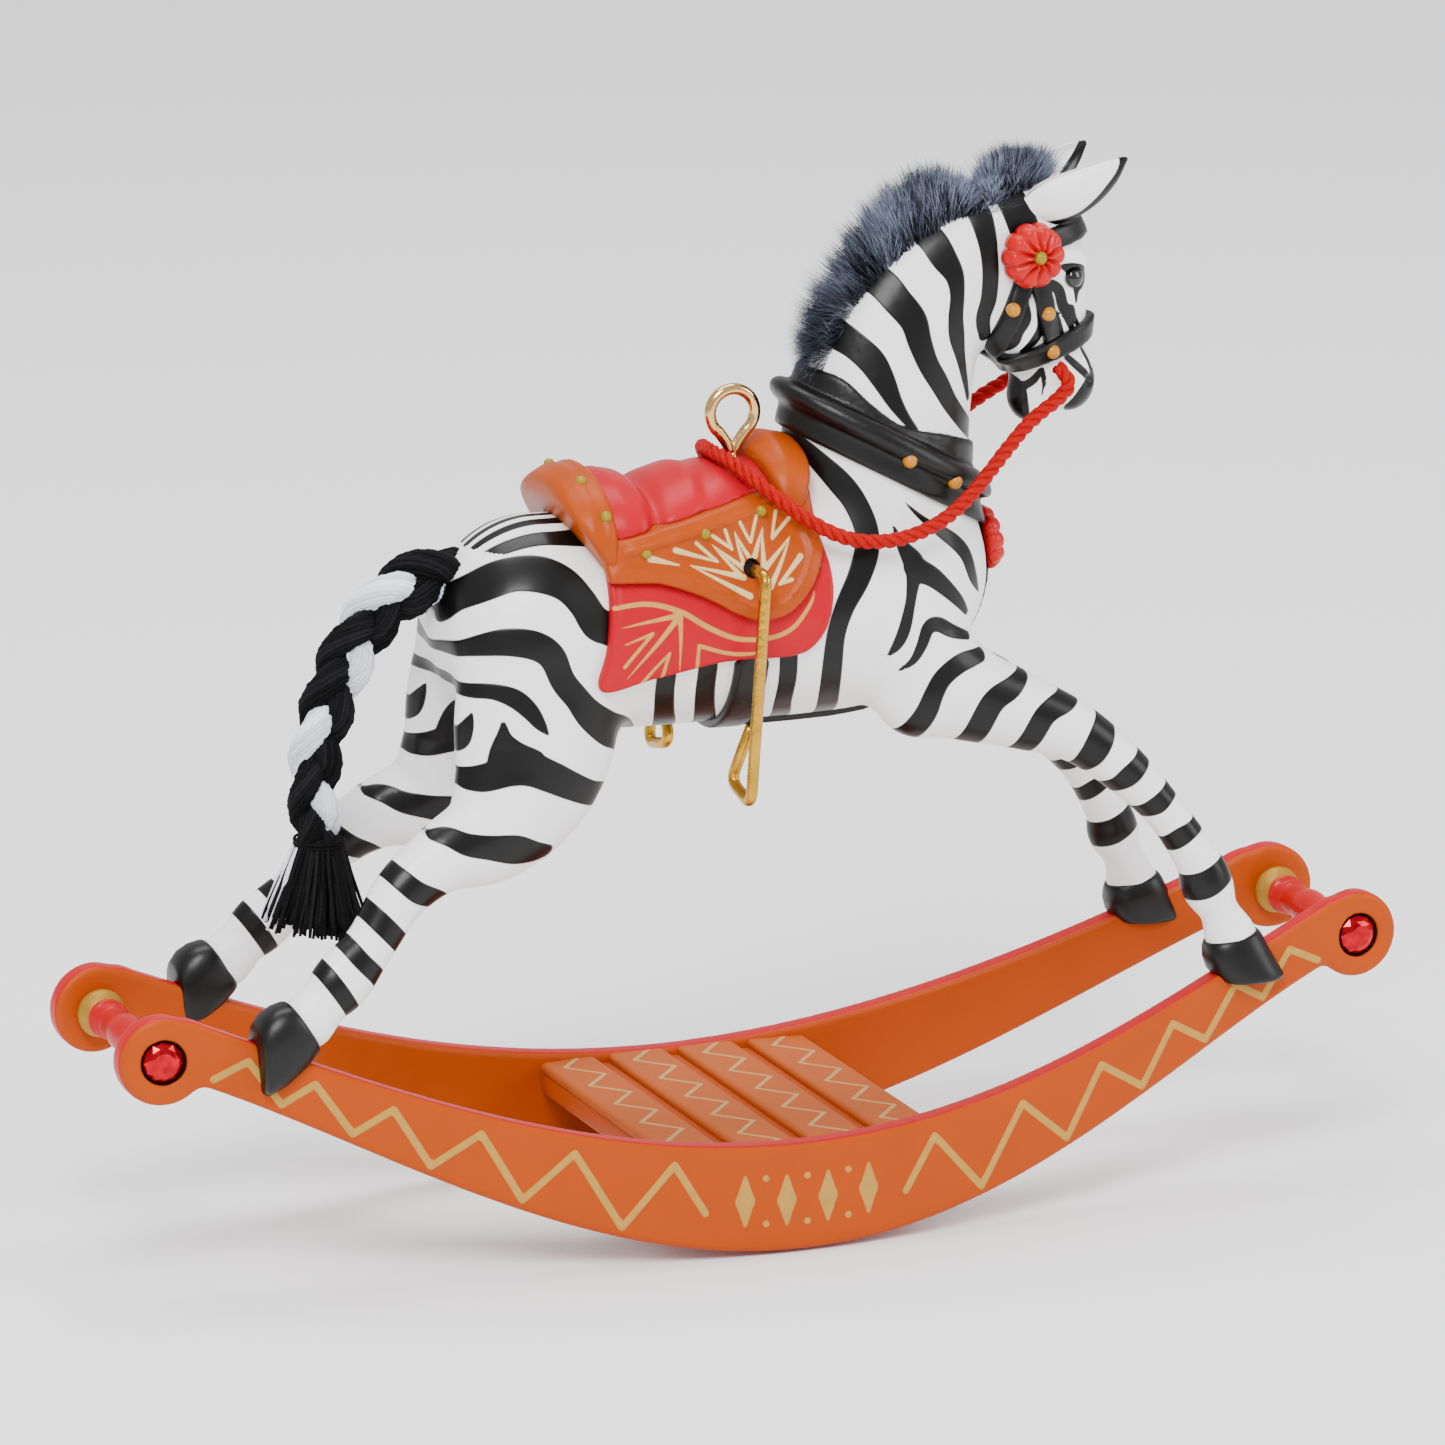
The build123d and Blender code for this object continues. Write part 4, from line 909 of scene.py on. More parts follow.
def build_collar():
    """A round roll on a flat strap, with a raised band along its upper edge."""
    grid, body, _ = part_of((0, -9, 46), (22, 9, 64))
    _, across = line_coordinates(grid, *COLLAR_LINE)
    roll = np.sqrt((body - 0.45) ** 2 + (across - 0.8) ** 2) - 0.85
    strap = smooth_cut(np.abs(body) - 0.5, np.abs(across + 0.35) - 1.35 + 0 * body, 0.3)
    upper = flat_strokes(grid, [COLLAR_UPPER_EDGE])
    raised = smooth_cut(np.abs(body) - 0.3, upper + 0 * body, 0.3)
    field = smooth_union(smooth_union(roll, strap, 0.2), raised, 0.12)
    field_piece("collar_leather", grid, field, HARNESS, "harness_black", ["collar"], 1)
    return grid, field


BRIDLE = [
    ("noseband", (18.0, 59.9), (30.0, 64.0), 1.7, 0.0, 99),
    ("cheek_strap", (22.2, 68.5), (24.0, 62.5), 1.5, -0.3, 6.0),
    ("throat_strap", (22.0, 68.5), (18.8, 61.0), 1.5, -0.3, 7.6),
    ("browband", (21.8, 69.9), (29.0, 71.2), 1.6, 0.5, 99),
]


def build_straps():
    grid, body, _ = part_of((16, -6, 55), (31, 6, 76))
    lower = head_shape_part(grid)
    for name, start, end, width, first, last in BRIDLE:
        along, across = line_coordinates(grid, start, end)
        band = np.abs(across) - width / 2 + 0 * lower
        stop = np.maximum(first - along, along - last)
        band = np.maximum(band, stop)
        strap = smooth_cut(np.abs(lower) - 0.5, band, 0.25)
        field_piece(name + "_leather", grid, strap, HARNESS, "harness_black", [name], 1)

    grid, body, _ = part_of((-6, -9, 34), (4, 9, 48))
    band = np.abs(grid.X + 1.3) - 1.3 + np.maximum(0, grid.Z - 42.0)
    field_piece("girth_leather", grid, smooth_cut(np.abs(body) - 0.5, band + 0 * body, 0.25), HARNESS,
                "harness_black", ["girth"], 0)
    grid, body, _ = part_of((-2, -4, 33), (21, 4, 52))
    line = np.abs(grid.Y) - 0.9 + 0 * body
    low_half = np.minimum(grid.Z - 41.0, 15.5 - grid.X)
    line = np.maximum(line, low_half)
    field_piece("breast_leather", grid, smooth_cut(np.abs(body) - 0.5, line, 0.25), HARNESS, "harness_black",
                ["breast_strap"], 0)


def head_shape_part(grid):
    low = np.array([grid.x[0], grid.y[0], grid.z[0]])
    first = np.round((low - body_grid.low) / body_grid.step).astype(int)
    nx, ny, nz = len(grid.x), len(grid.y), len(grid.z)
    i, j, k = first
    return head_shape[i:i + nx, j:j + ny, k:k + nz]


collar_grid, collar_surface = build_collar()
build_straps()


def touch(grid, field, start, direction):
    """Where a line from start first meets a surface, and the direction the surface faces there."""
    line = np.array(start, float) + np.arange(0, 12, 0.04)[:, None] * unit(np.array(direction, float))
    values = sample(field, (line - grid.low) / grid.step)
    point = line[np.argmax(values < 0)]
    near = point + 0.4 * np.vstack([np.eye(3), -np.eye(3)])
    values = sample(field, (near - grid.low) / grid.step)
    return point, unit(values[:3] - values[3:])


DOME = [(0.0, 0.42), (0.18, 0.40), (0.34, 0.30), (0.45, 0.14), (0.5, -0.1), (0.44, -0.5)]


def build_studs():
    head_grid, _, _ = part_of((16, -6, 55), (31, 6, 76))
    cheek = head_shape_part(head_grid) - 0.5
    groups = [
        ("bridle_studs", "stud_gold", STUD_GOLD, head_grid, cheek,
         [(20.4, 65.4), (23.2, 64.9), (23.9, 61.9)], 1.1),
        ("collar_studs", "stud_gold", STUD_GOLD, collar_grid, collar_surface,
         [(11.2, 55.5), (15.0, 53.5)], 1.1),
        ("saddle_studs", "stud_gold", OLIVE_GOLD, saddle_grid, saddle_surface,
         [(-9.4, 50.6), (-4.8, 51.6), (-0.1, 52.7), (-12.2, 53.4)], 0.85),
    ]
    for name, slot, material, grid, field, places, scale in groups:
        parts = []
        rows = [(r * scale, h * scale) for r, h in DOME]
        for x, z in places:
            for side in (-1, 1):
                point, axis = touch(grid, field, (x, side * 10.5, z), (0, -side, 0))
                parts.append(lathe(rows, point, axis, 24))
        if name == "saddle_studs":
            for y in (-3.2, 3.2):
                point, axis = touch(grid, field, (-12.9, y, 60), (0, 0, -1))
                parts.append(lathe(rows, point, axis, 24))
        verts, faces = merge(parts)
        piece(name + "_metal", verts, faces, material, slot, [name])


def flower(centre, axis, radius, thickness, petals=10):
    """A moulded flower: a disc with radial petals, turned to face along axis."""
    axis = unit(np.asarray(axis, float))
    a = unit(np.cross(axis, (0, 0, 1.0)))
    b = np.cross(axis, a)
    rings, sides = 28, petals * 14
    verts = []
    for i in range(rings + 1):
        s = i / rings
        for k in range(sides):
            angle = 2 * math.pi * k / sides
            lobe = abs(math.cos(petals * angle / 2))
            rim = radius * (0.88 + 0.12 * lobe ** 0.5)
            r = rim * s
            ridge = 0.30 * thickness * lobe ** 0.7 * math.sin(math.pi * min(1, s * 1.02)) ** 0.8
            swell = 0.6 + 0.4 * math.cos(petals * angle)
            crown = 0.30 * thickness * math.exp(-((s - 0.30) / 0.13) ** 2) * swell
            fall = 0.55 * thickness * max(0, (s - 0.82) / 0.18) ** 2
            h = thickness * 0.45 + ridge + crown - fall
            verts.append(np.asarray(centre) + r * (math.cos(angle) * a + math.sin(angle) * b) + h * axis)
    for k in range(sides):
        angle = 2 * math.pi * k / sides
        lobe = abs(math.cos(petals * angle / 2))
        r = radius * (0.86 + 0.12 * lobe ** 0.5)
        point = np.asarray(centre) + r * (math.cos(angle) * a + math.sin(angle) * b)
        verts.append(point - 0.5 * thickness * axis)
    verts.append(np.asarray(centre) - 0.5 * thickness * axis)
    verts = np.array(verts)
    row = np.arange(rings + 1)[:, None] * sides
    col = np.arange(sides)[None, :]
    nxt = (col + 1) % sides
    quads = np.stack([row + col, row + sides + col, row + sides + nxt, row + nxt], -1).reshape(-1, 4)
    last = (rings + 1) * sides
    c = np.arange(sides)
    caps = np.stack([last + c, np.full(sides, len(verts) - 1), last + (c + 1) % sides], 1)
    quads = quads[:, ::-1] if np.dot(np.cross(a, b), axis) < 0 else quads
    return verts, [quads, caps]


def build_rosettes():
    parts = []
    for name, side in (("right", -1), ("left", 1)):
        verts, faces = flower((21.9, side * 3.9, 69.3), (0.1, side, 0.0), 2.45, 1.3)
        piece("cheek_flower_" + name, verts, faces, ROSETTE_RED, "rosette_red", ["cheek_rosette_" + name])
        button = [(r * 1.1, h * 1.1) for r, h in DOME]
        parts.append(lathe(button, (22.0, side * 4.75, 69.3), (0.1, side, 0), 24))
    tilt = math.radians(10)
    axis = (math.cos(tilt), 0, math.sin(tilt))
    verts, faces = flower((19.9, 0, 48.0), axis, 2.45, 1.0)
    piece("chest_flower", verts, faces, ROSETTE_RED, "rosette_red", ["chest_rosette"])
    parts.append(lathe([(r * 1.1, h * 1.1) for r, h in DOME], (20.45, 0, 48.1), axis, 24))
    verts, faces = merge(parts)
    piece("rosette_buttons_metal", verts, faces, OLIVE_GOLD, "stud_gold", ["rosette_buttons"])


build_studs()
build_rosettes()


# ---------------------------------------------------------------- eyes, ears and hooves

def build_eyes():
    for name, side in (("right", -1), ("left", 1)):
        rows = [(0.78 * math.sin(t), 0.55 * math.cos(t)) for t in np.linspace(0, math.pi, 17)]
        verts, faces = lathe(rows, (25.75, side * 2.3, 67.15), (0.45, side, 0.1), 32)
        piece("eye_glass_" + name, verts, faces, EYE_BLACK, "eye_black", ["eye_" + name])


def build_ears():
    """Cupped leaves: a white back, a dark rim and a hollow that faces forward."""
    spine = smooth_line([(21.9, 2.0, 72.0, 1.1), (24.0, 2.6, 72.9, 1.75), (26.2, 3.1, 73.9, 1.55),
                         (28.0, 3.4, 75.0, 0.95), (29.2, 3.5, 75.9, 0.12)], 6)
    for name, side in (("right", -1), ("left", 1)):
        inner, outer, rims = [], [], []
        across = 18
        for x, y, z, reach in spine:
            for k in range(across + 1):
                s = 2 * k / across - 1
                up = np.array([-0.45, 0, 0.89])
                out = np.array([0.35, side * 0.9, 0.1])
                base = np.array([x, side * y, z])
                cup = 0.5 * reach * (1 - s * s)
                outer.append(base + up * reach * s + out * (cup + 0.18))
                inner.append(base + up * reach * s + out * (cup - 0.18))
                rims.append(reach * (1 + s) - 0.42 - 0.5 * (x > 25) * min(1, (x - 25) / 2))
        verts = np.array(outer + inner)
        count, wide = len(spine), across + 1
        row = np.arange(count - 1)[:, None] * wide
        col = np.arange(across)[None, :]
        corners = [row + col, row + col + 1, row + wide + col + 1, row + wide + col]
        sheet = np.stack(corners, -1).reshape(-1, 4)
        n = count * wide
        rim_quads = []
        for edge in (0, across):
            r = np.arange(count - 1) * wide + edge
            rim_quads.append(np.stack([r, r + wide, r + wide + n, r + n], 1))
        c = np.arange(across)
        tip = (count - 1) * wide
        rim_quads.append(np.stack([tip + c, tip + c + 1, tip + c + 1 + n, tip + c + n], 1))
        faces = np.concatenate([sheet, sheet[:, ::-1] + n] + rim_quads)
        ink = np.array(rims + rims)
        piece("ear_leaf_" + name, verts, faces, COAT, "coat", ["ear_" + name],
              floats={"ink": ink})


def build_hooves():
    plans = {
        "rear": [((-37.4, 20.9), (-35.2, 17.4), -9.0, 1.65), ((-37.8, 20.9), (-35.5, 17.0), -9.0, 1.85),
                 ((-38.6, 20.7), (-36.5, 16.0), -9.05, 2.0), ((-39.4, 20.2), (-37.8, 15.0), -9.1, 2.05),
                 ((-39.9, 19.5), (-39.2, 14.3), -9.1, 1.95), ((-40.0, 19.1), (-39.6, 14.6), -9.1, 1.7)],
        "front": [((33.9, 18.1), (37.9, 18.9), -8.9, 1.6), ((33.8, 17.6), (38.2, 18.4), -8.9, 1.85),
                  ((33.8, 16.9), (38.7, 17.4), -9.0, 2.0), ((34.1, 16.0), (39.4, 16.2), -9.1, 2.1),
                  ((34.7, 15.3), (39.8, 15.4), -9.2, 2.15), ((35.0, 15.1), (39.5, 15.1), -9.2, 1.9)],
    }
    sides = 56
    for place, sections in plans.items():
        for name, side in (("right", 1), ("left", -1)):
            rings = []
            for back, front, y, wide in sections:
                dx, dz = (front[0] - back[0]) / 2, (front[1] - back[1]) / 2
                for k in range(sides):
                    angle = 2 * math.pi * k / sides
                    c, s = math.cos(angle), math.sin(angle)
                    u = math.copysign(abs(c) ** 0.8, c)
                    v = math.copysign(abs(s) ** 0.75, s)
                    rings.append(((back[0] + front[0]) / 2 + dx * u, side * (y + wide * v),
                                  (back[1] + front[1]) / 2 + dz * u))
            verts = np.array(rings)
            tops = [verts[:sides].mean(0), verts[-sides:].mean(0)]
            verts = np.vstack([verts, tops])
            quads = ring_quads(len(sections), sides)
            caps = end_caps(len(sections), sides, len(verts) - 2, len(verts) - 1)
            hoof = piece("hoof_%s_%s" % (place, name), verts, [quads, caps], BLACK_GLOSS, "hoof_black",
                         ["%s_hoof_%s" % (place, name)])
            bevel = hoof.modifiers.new("bevel", "BEVEL")
            bevel.width = 0.00022
            bevel.segments = 3
            bevel.limit_method = "ANGLE"
            bevel.angle_limit = math.radians(30)


build_eyes()
build_ears()
build_hooves()


# ---------------------------------------------------------------- rockers and deck

END_X, END_Z, END_RADIUS = 46.5, 17.25, 3.2


def rocker_top(x):
    s = x / 40
    return 7.97 + 11.84 * s ** 2 - 1.66 * s ** 4


def rocker_bottom(x):
    s = x / 40
    return 17.98 * s ** 2 - 4.34 * s ** 4


def rocker_face(x):
    s = x / 40
    return 14.56 - 7.39 * s ** 2 + 2.14 * s ** 4


def zigzag_strokes():
    """Gold zigzag on both arms of the rocker, with a row of diamonds between them."""
    strokes = []
    peaks, valleys = [10.1, 17.4, 24.1, 30.3, 35.8, 40.5], [14.0, 21.2, 27.7, 33.2, 38.2]
    for side in (-1, 1):
        corners = [(7.8, 3.5)]
        for number, x in enumerate(peaks):
            corners.append((x, rocker_top(x) - 1.4))
            if number < len(valleys):
                low = valleys[number]
                corners.append((low, rocker_bottom(low) + 0.85))
        corners.append((43.0, 15.8))
        for a, b in zip(corners, corners[1:]):
            strokes.append([(side * a[0], a[1], 0.54), (side * b[0], b[1], 0.54)])
    for x in (-4.8, -1.6, 1.6, 4.8):
        middle = (rocker_top(x) + rocker_bottom(x)) / 2 - 0.1
        strokes.append([(x, middle + 2.1, 0.05), (x, middle, 1.5), (x, middle - 2.1, 0.05)])
    for x in (-3.2, 0.0, 3.2):
        middle = (rocker_top(x) + rocker_bottom(x)) / 2 - 0.1
        for lift in (1.7, -1.7):
            strokes.append([(x - 0.02, middle + lift, 0.5), (x + 0.02, middle + lift, 0.5)])
    return strokes


def build_rockers():
    grid = Grid((-51, -16, -1), (51, -5.4, 22), 0.2)
    X, Z = np.meshgrid(grid.x, grid.z, indexing="ij")
    slope_top = np.sqrt(1 + np.gradient(rocker_top(grid.x), grid.x) ** 2)[:, None]
    slope_low = np.sqrt(1 + np.gradient(rocker_bottom(grid.x), grid.x) ** 2)[:, None]
    body = np.maximum((Z - rocker_top(X)) / slope_top, (rocker_bottom(X) - Z) / slope_low)
    body = smooth_cut(body, np.abs(X) - 44.6 + 0 * body, 1.0)
    ends = np.hypot(np.abs(X) - END_X, Z - END_Z) - END_RADIUS
    outline = smooth_union(body, ends, 0.9)
    middle = -(rocker_face(grid.x) - 1.0)[:, None, None]
    lean = np.sqrt(1 + np.gradient(rocker_face(grid.x), grid.x) ** 2)[:, None, None]
    wall = np.abs(grid.Y - middle) / lean - 1.0
    field = smooth_cut(wall, outline[:, None, :] + 0 * wall, 0.55)
    recess = np.sqrt((np.abs(grid.X) - END_X) ** 2 + (grid.Z - END_Z) ** 2) - 1.62 + 0 * field
    recess = np.maximum(recess, (grid.Y - middle) / lean + 0.55)
    field = -smooth_union(-field, recess, 0.15)
    verts, quads, normals = net(grid, field)
    offset = verts[:, 1] + rocker_face(verts[:, 0]) - 1.0
    edge = np.abs(offset) - 0.72
    # painted shade: the floor of each jewel's recess on the outer face is darkened with the "hollow" ink
    hollow = np.hypot(np.abs(verts[:, 0]) - END_X, verts[:, 2] - END_Z) - 1.66
    edge = np.where(hollow < 0.5, 9, edge)
    hollow = np.where(offset < 0, hollow, 9)
    gold = np.where(offset < -0.7, stroke_distance(verts[:, [0, 2]], zigzag_strokes(), 1), 9)
    flip = np.array([1, -1, 1])
    piece("rocker_wood_right", verts, quads, ORANGE_PAINT, "rocker_paint", ["rocker_right"], normals=normals,
          floats={"edge": edge, "gold": gold, "hollow": hollow})
    piece("rocker_wood_left", verts * flip, quads[:, ::-1], ORANGE_PAINT, "rocker_paint", ["rocker_left"],
          normals=normals * flip, floats={"edge": edge, "gold": gold, "hollow": hollow})


def rounded_board(low, high, radius, step):
    """A board with rounded edges as a distance field on a grid of its own: returns the grid and the field."""
    centre = (np.array(low) + np.array(high)) / 2
    half = (np.array(high) - np.array(low)) / 2
    grid = Grid(np.array(low) - 3 * step, np.array(high) + 3 * step, step)
    q = [np.abs(axis - c) - h + radius for axis, c, h in zip((grid.X, grid.Y, grid.Z), centre, half)]
    outside = np.sqrt(np.maximum(q[0], 0) ** 2 + np.maximum(q[1], 0) ** 2 + np.maximum(q[2], 0) ** 2)
    return grid, outside + np.minimum(np.maximum(np.maximum(q[0], q[1]), q[2]), 0) - radius


def build_deck():
    rear, front, gap, count = -10.4, 10.65, 1.1, 4
    width = (front - rear - (count - 1) * gap) / count
    reach = 12.9
    grid, field = rounded_board((rear, -reach, 5.6), (front, reach, 7.4), 0.25, 0.3)
    field_piece("deck_board_wood", grid, field, SLAT_PLAIN, "slat_paint", ["deck_board"])
    periods = 5
    for number in range(count):
        x = rear + width / 2 + number * (width + gap)
        grid, field = rounded_board((x - width / 2, -reach, 7.2), (x + width / 2, reach, 8.0), 0.25, 0.2)
        strokes = []
        for k in range(2 * periods):
            a, b = -reach + k * reach / periods, -reach + (k + 1) * reach / periods
            left, right = x - 1.0, x + 1.2
            strokes.append([(left if k % 2 else right, a, 0.33), (right if k % 2 else left, b, 0.33)])

        def gold(verts, normals, strokes=strokes):
            return np.where(normals[:, 2] > 0.6, stroke_distance(verts[:, :2], strokes, 1), 9)
        field_piece("deck_slat_wood_%d" % (number + 1), grid, field, SLAT_PAINT, "slat_paint",
                    ["deck_slat_%d" % (number + 1)], floats={"gold": gold})


build_rockers()
build_deck()


def build_turned_parts():
    for place, x in (("front", END_X), ("rear", -END_X)):
        inner = rocker_face(END_X) - 2.0
        half = inner - 1.6
        rows = []
        for t in np.linspace(-1, 1, 81):
            s = abs(t)
            swell = 1.05 + 0.33 * math.exp(-((s - 0.0) / 0.35) ** 2)
            ring = 0.42 * math.exp(-((s - 0.86) / 0.055) ** 2) + 0.3 * math.exp(-((s - 0.68) / 0.05) ** 2)
            rows.append((min(1.5, swell + ring), t * half))
        rows = [(0.0, -half)] + rows + [(0.0, half)]
        verts, faces = lathe(rows, (x, 0, END_Z), (0, 1, 0), 48)
        piece("spindle_turned_" + place, verts, faces, RED_PAINT, "red_paint", ["spindle_" + place])
        for name, side in (("right", -1), ("left", 1)):
            bead = [(0.0, 0.0), (1.1, 0.0), (1.35, 0.12), (1.45, 0.35), (1.7, 0.55), (1.78, 0.85),
                    (1.72, 1.15), (1.5, 1.4), (1.35, 1.6), (1.3, 1.9)]
            verts, faces = lathe(bead, (x, side * (half - 0.05), END_Z), (0, side, 0), 40)
            piece("bead_%s_%s_turned" % (place, name), verts, faces, BEAD_GOLD, "gold_bead",
                  ["bead_%s_%s" % (place, name)])
            build_jewel(place, name, x, side)


def build_jewel(place, name, x, side):
    """A round brilliant: table, two rows of crown facets and a girdle, all flat."""
    step = 0.5
    slope = (rocker_face(x + step) - rocker_face(x - step)) / (2 * step)
    axis = unit(np.array([-slope, side, 0.0]))
    up = np.array([0, 0, 1.0])
    right = np.cross(up, axis)
    origin = np.array([x, side * (rocker_face(x) - 0.35), END_Z])
    rings = [(0.78, 0.62, 0.0), (1.12, 0.46, 0.5), (1.46, 0.16, 0.0), (1.5, -0.1, 0.0), (0.5, -0.6, 0.0)]
    sides = 12
    verts = [origin + 0.64 * axis]
    for radius, height, turn in rings:
        for k in range(sides):
            angle = 2 * math.pi * (k + turn) / sides
            verts.append(origin + radius * (math.cos(angle) * right + math.sin(angle) * up) + height * axis)
    faces = []
    for k in range(sides):
        n = (k + 1) % sides
        faces.append((0, 1 + k, 1 + n))
        a, b, c, d = 1, 1 + sides, 1 + 2 * sides, 1 + 3 * sides
        faces += [(a + k, b + k, a + n), (b + k, b + n, a + n), (b + k, c + n, b + n), (b + k, c + k, c + n)]
        faces += [(c + k, d + k, c + n), (c + n, d + k, d + n)]
        faces += [(d + k, d + sides + k, d + n), (d + n, d + sides + k, d + sides + n)]
    piece("jewel_cut_%s_%s" % (place, name), np.array(verts), np.array(faces), RUBY, "ruby_glass",
          ["jewel_%s_%s" % (place, name)], flat=True)


build_turned_parts()


# ---------------------------------------------------------------- wire parts

def build_loop():
    """Screw eye bent from one wire: a pear-shaped ring whose two ends meet above the stem."""
    route = []
    for angle in np.linspace(-52, 232, 60):
        t = math.radians(angle)
        route.append((2.1 * math.cos(t) * 0.82, 0.0, 58.75 + 1.72 * math.sin(t)))
    route = [(0.16, 0.02, 55.9), (0.42, 0.02, 56.5)] + route + [(-0.42, -0.02, 56.5), (-0.16, -0.02, 55.9)]
    verts, faces = tube_along(smooth_line(route, 3), 0.43, 20)
    stem = tube_along([(0, 0, 56.3), (0, 0, 53.0)], 0.42, 20)
    verts, faces = merge([(verts, faces), stem])
    piece("hanging_loop_wire", verts, faces, LOOP_BRASS, "loop_brass", ["hanging_loop"])


def round_corners(points, radius, steps=8):
    """A polyline with its corners turned through arcs."""
    p = [np.array(q, float) for q in points]
    line = [p[0]]
    for before, here, after in zip(p, p[1:], p[2:]):
        a, b = unit(before - here), unit(after - here)
        half = math.acos(max(-1, min(1, float(a @ b)))) / 2
        cut = min(radius / math.tan(half), 0.48 * np.linalg.norm(before - here),
                  0.48 * np.linalg.norm(after - here))
        start, end = here + a * cut, here + b * cut
        for t in np.linspace(0, 1, steps):
            line.append((1 - t) ** 2 * start + 2 * t * (1 - t) * here + t ** 2 * end)
    return line + [p[-1]]


def build_stirrups():
    for name, side in (("right", 1), ("left", -1)):
        route = [(-1.4, -7.9, 48.9), (-1.4, -10.0, 48.9), (-1.4, -10.0, 32.2), (-1.4, -6.0, 33.1),
                 (-1.4, -9.02, 37.7)]
        line = [(x - 0.07 * (48.9 - z) * (z < 48.9), side * y, z) for x, y, z in round_corners(route, 0.9)]
        verts, faces = tube_along(line, 0.43, 18)
        piece("stirrup_wire_" + name, verts, faces, STIRRUP_BRASS, "stirrup_brass", ["stirrup_" + name],
              body=name + "_stirrup")


build_loop()
build_stirrups()


# ---------------------------------------------------------------- reins

REIN_HALF = [(24.0, -3.4, 60.9), (25.0, -3.9, 59.9), (24.0, -4.2, 58.8), (21.4, -4.6, 57.4),
             (18.6, -5.7, 55.1), (15.9, -7.0, 52.9), (13.2, -8.0, 51.3), (10.3, -8.4, 50.4),
             (7.5, -8.3, 50.2), (5.0, -7.9, 50.8), (2.4, -7.0, 52.4), (0.1, -5.5, 54.4),
             (-1.3, -2.8, 55.9), (-1.75, -0.9, 56.1)]


def cord_line():
    """The reins' centre line: a spline through the route, read back as evenly spaced points."""
    route = REIN_HALF + [(x, -y, z) for x, y, z in reversed(REIN_HALF)]
    curve = bpy.data.curves.new("rein_line", "CURVE")
    curve.dimensions = "3D"
    curve.resolution_u = 24
    spline = curve.splines.new("NURBS")
    spline.points.add(len(route) - 1)
    for point, (x, y, z) in zip(spline.points, route):
        point.co = (x * MM, y * MM, z * MM, 1)
    spline.order_u = 3
    spline.use_endpoint_u = True
    holder = bpy.data.objects.new("rein_line", curve)
    bpy.context.scene.collection.objects.link(holder)
    mesh = bpy.data.meshes.new_from_object(holder)
    points = np.array([v.co for v in mesh.vertices]) / MM
    bpy.data.meshes.remove(mesh)
    bpy.data.objects.remove(holder)
    bpy.data.curves.remove(curve)
    gaps = np.concatenate([[0], np.cumsum(np.linalg.norm(np.diff(points, axis=0), axis=1))])
    even = np.linspace(0, gaps[-1], 560)
    return np.stack([np.interp(even, gaps, points[:, i]) for i in range(3)], 1), gaps[-1]


def turning_frames(line):
    along = unit(np.gradient(line, axis=0))
    side = unit(np.cross(along[0], (0, 0.3, 1.0)))
    sides = []
    for direction in along:
        side = unit(side - direction * (side @ direction))
        sides.append(side)
    a = np.array(sides)
    return along, a, np.cross(along, a)


def build_reins():
    """Three-ply twisted cord, each ply scored by its own finer twist."""
    line, length = cord_line()
    _, a, b = turning_frames(line)
    s = np.linspace(0, length, len(line))
    parts = []
    for ply in range(3):
        turn = 2 * math.pi * (s / 2.6 + ply / 3)
        centre = line + 0.27 * (np.cos(turn)[:, None] * a + np.sin(turn)[:, None] * b)
        verts, faces = tube_along(centre, 0.285, 14, closed_ends=False)
        rows = verts.reshape(len(line), 14, 3)
        score = 0.018 * np.cos(3 * 2 * math.pi * np.arange(14) / 14 * 2 + 2 * math.pi * s[:, None] / 0.7)
        rows = rows + (rows - centre[:, None]) / 0.285 * score[..., None]
        parts.append((rows.reshape(-1, 3), faces))
    verts, faces = merge(parts)
    reins = piece("reins_cord", verts, faces, CORD_RED, "rein_cord", ["reins"])


build_reins()


# ---------------------------------------------------------------- mane and tail

MANE_ROOTS = [(6.7, 62.0), (8.4, 65.2), (10.6, 67.9), (13.3, 70.2), (16.2, 71.8), (18.6, 72.6), (21.0, 73.6),
              (23.6, 74.2)]
MANE_TIPS = [(4.7, 61.7), (4.9, 65.8), (7.9, 70.2), (11.2, 74.4), (15.6, 76.4), (19.2, 74.3), (21.0, 77.2),
             (24.6, 76.9)]


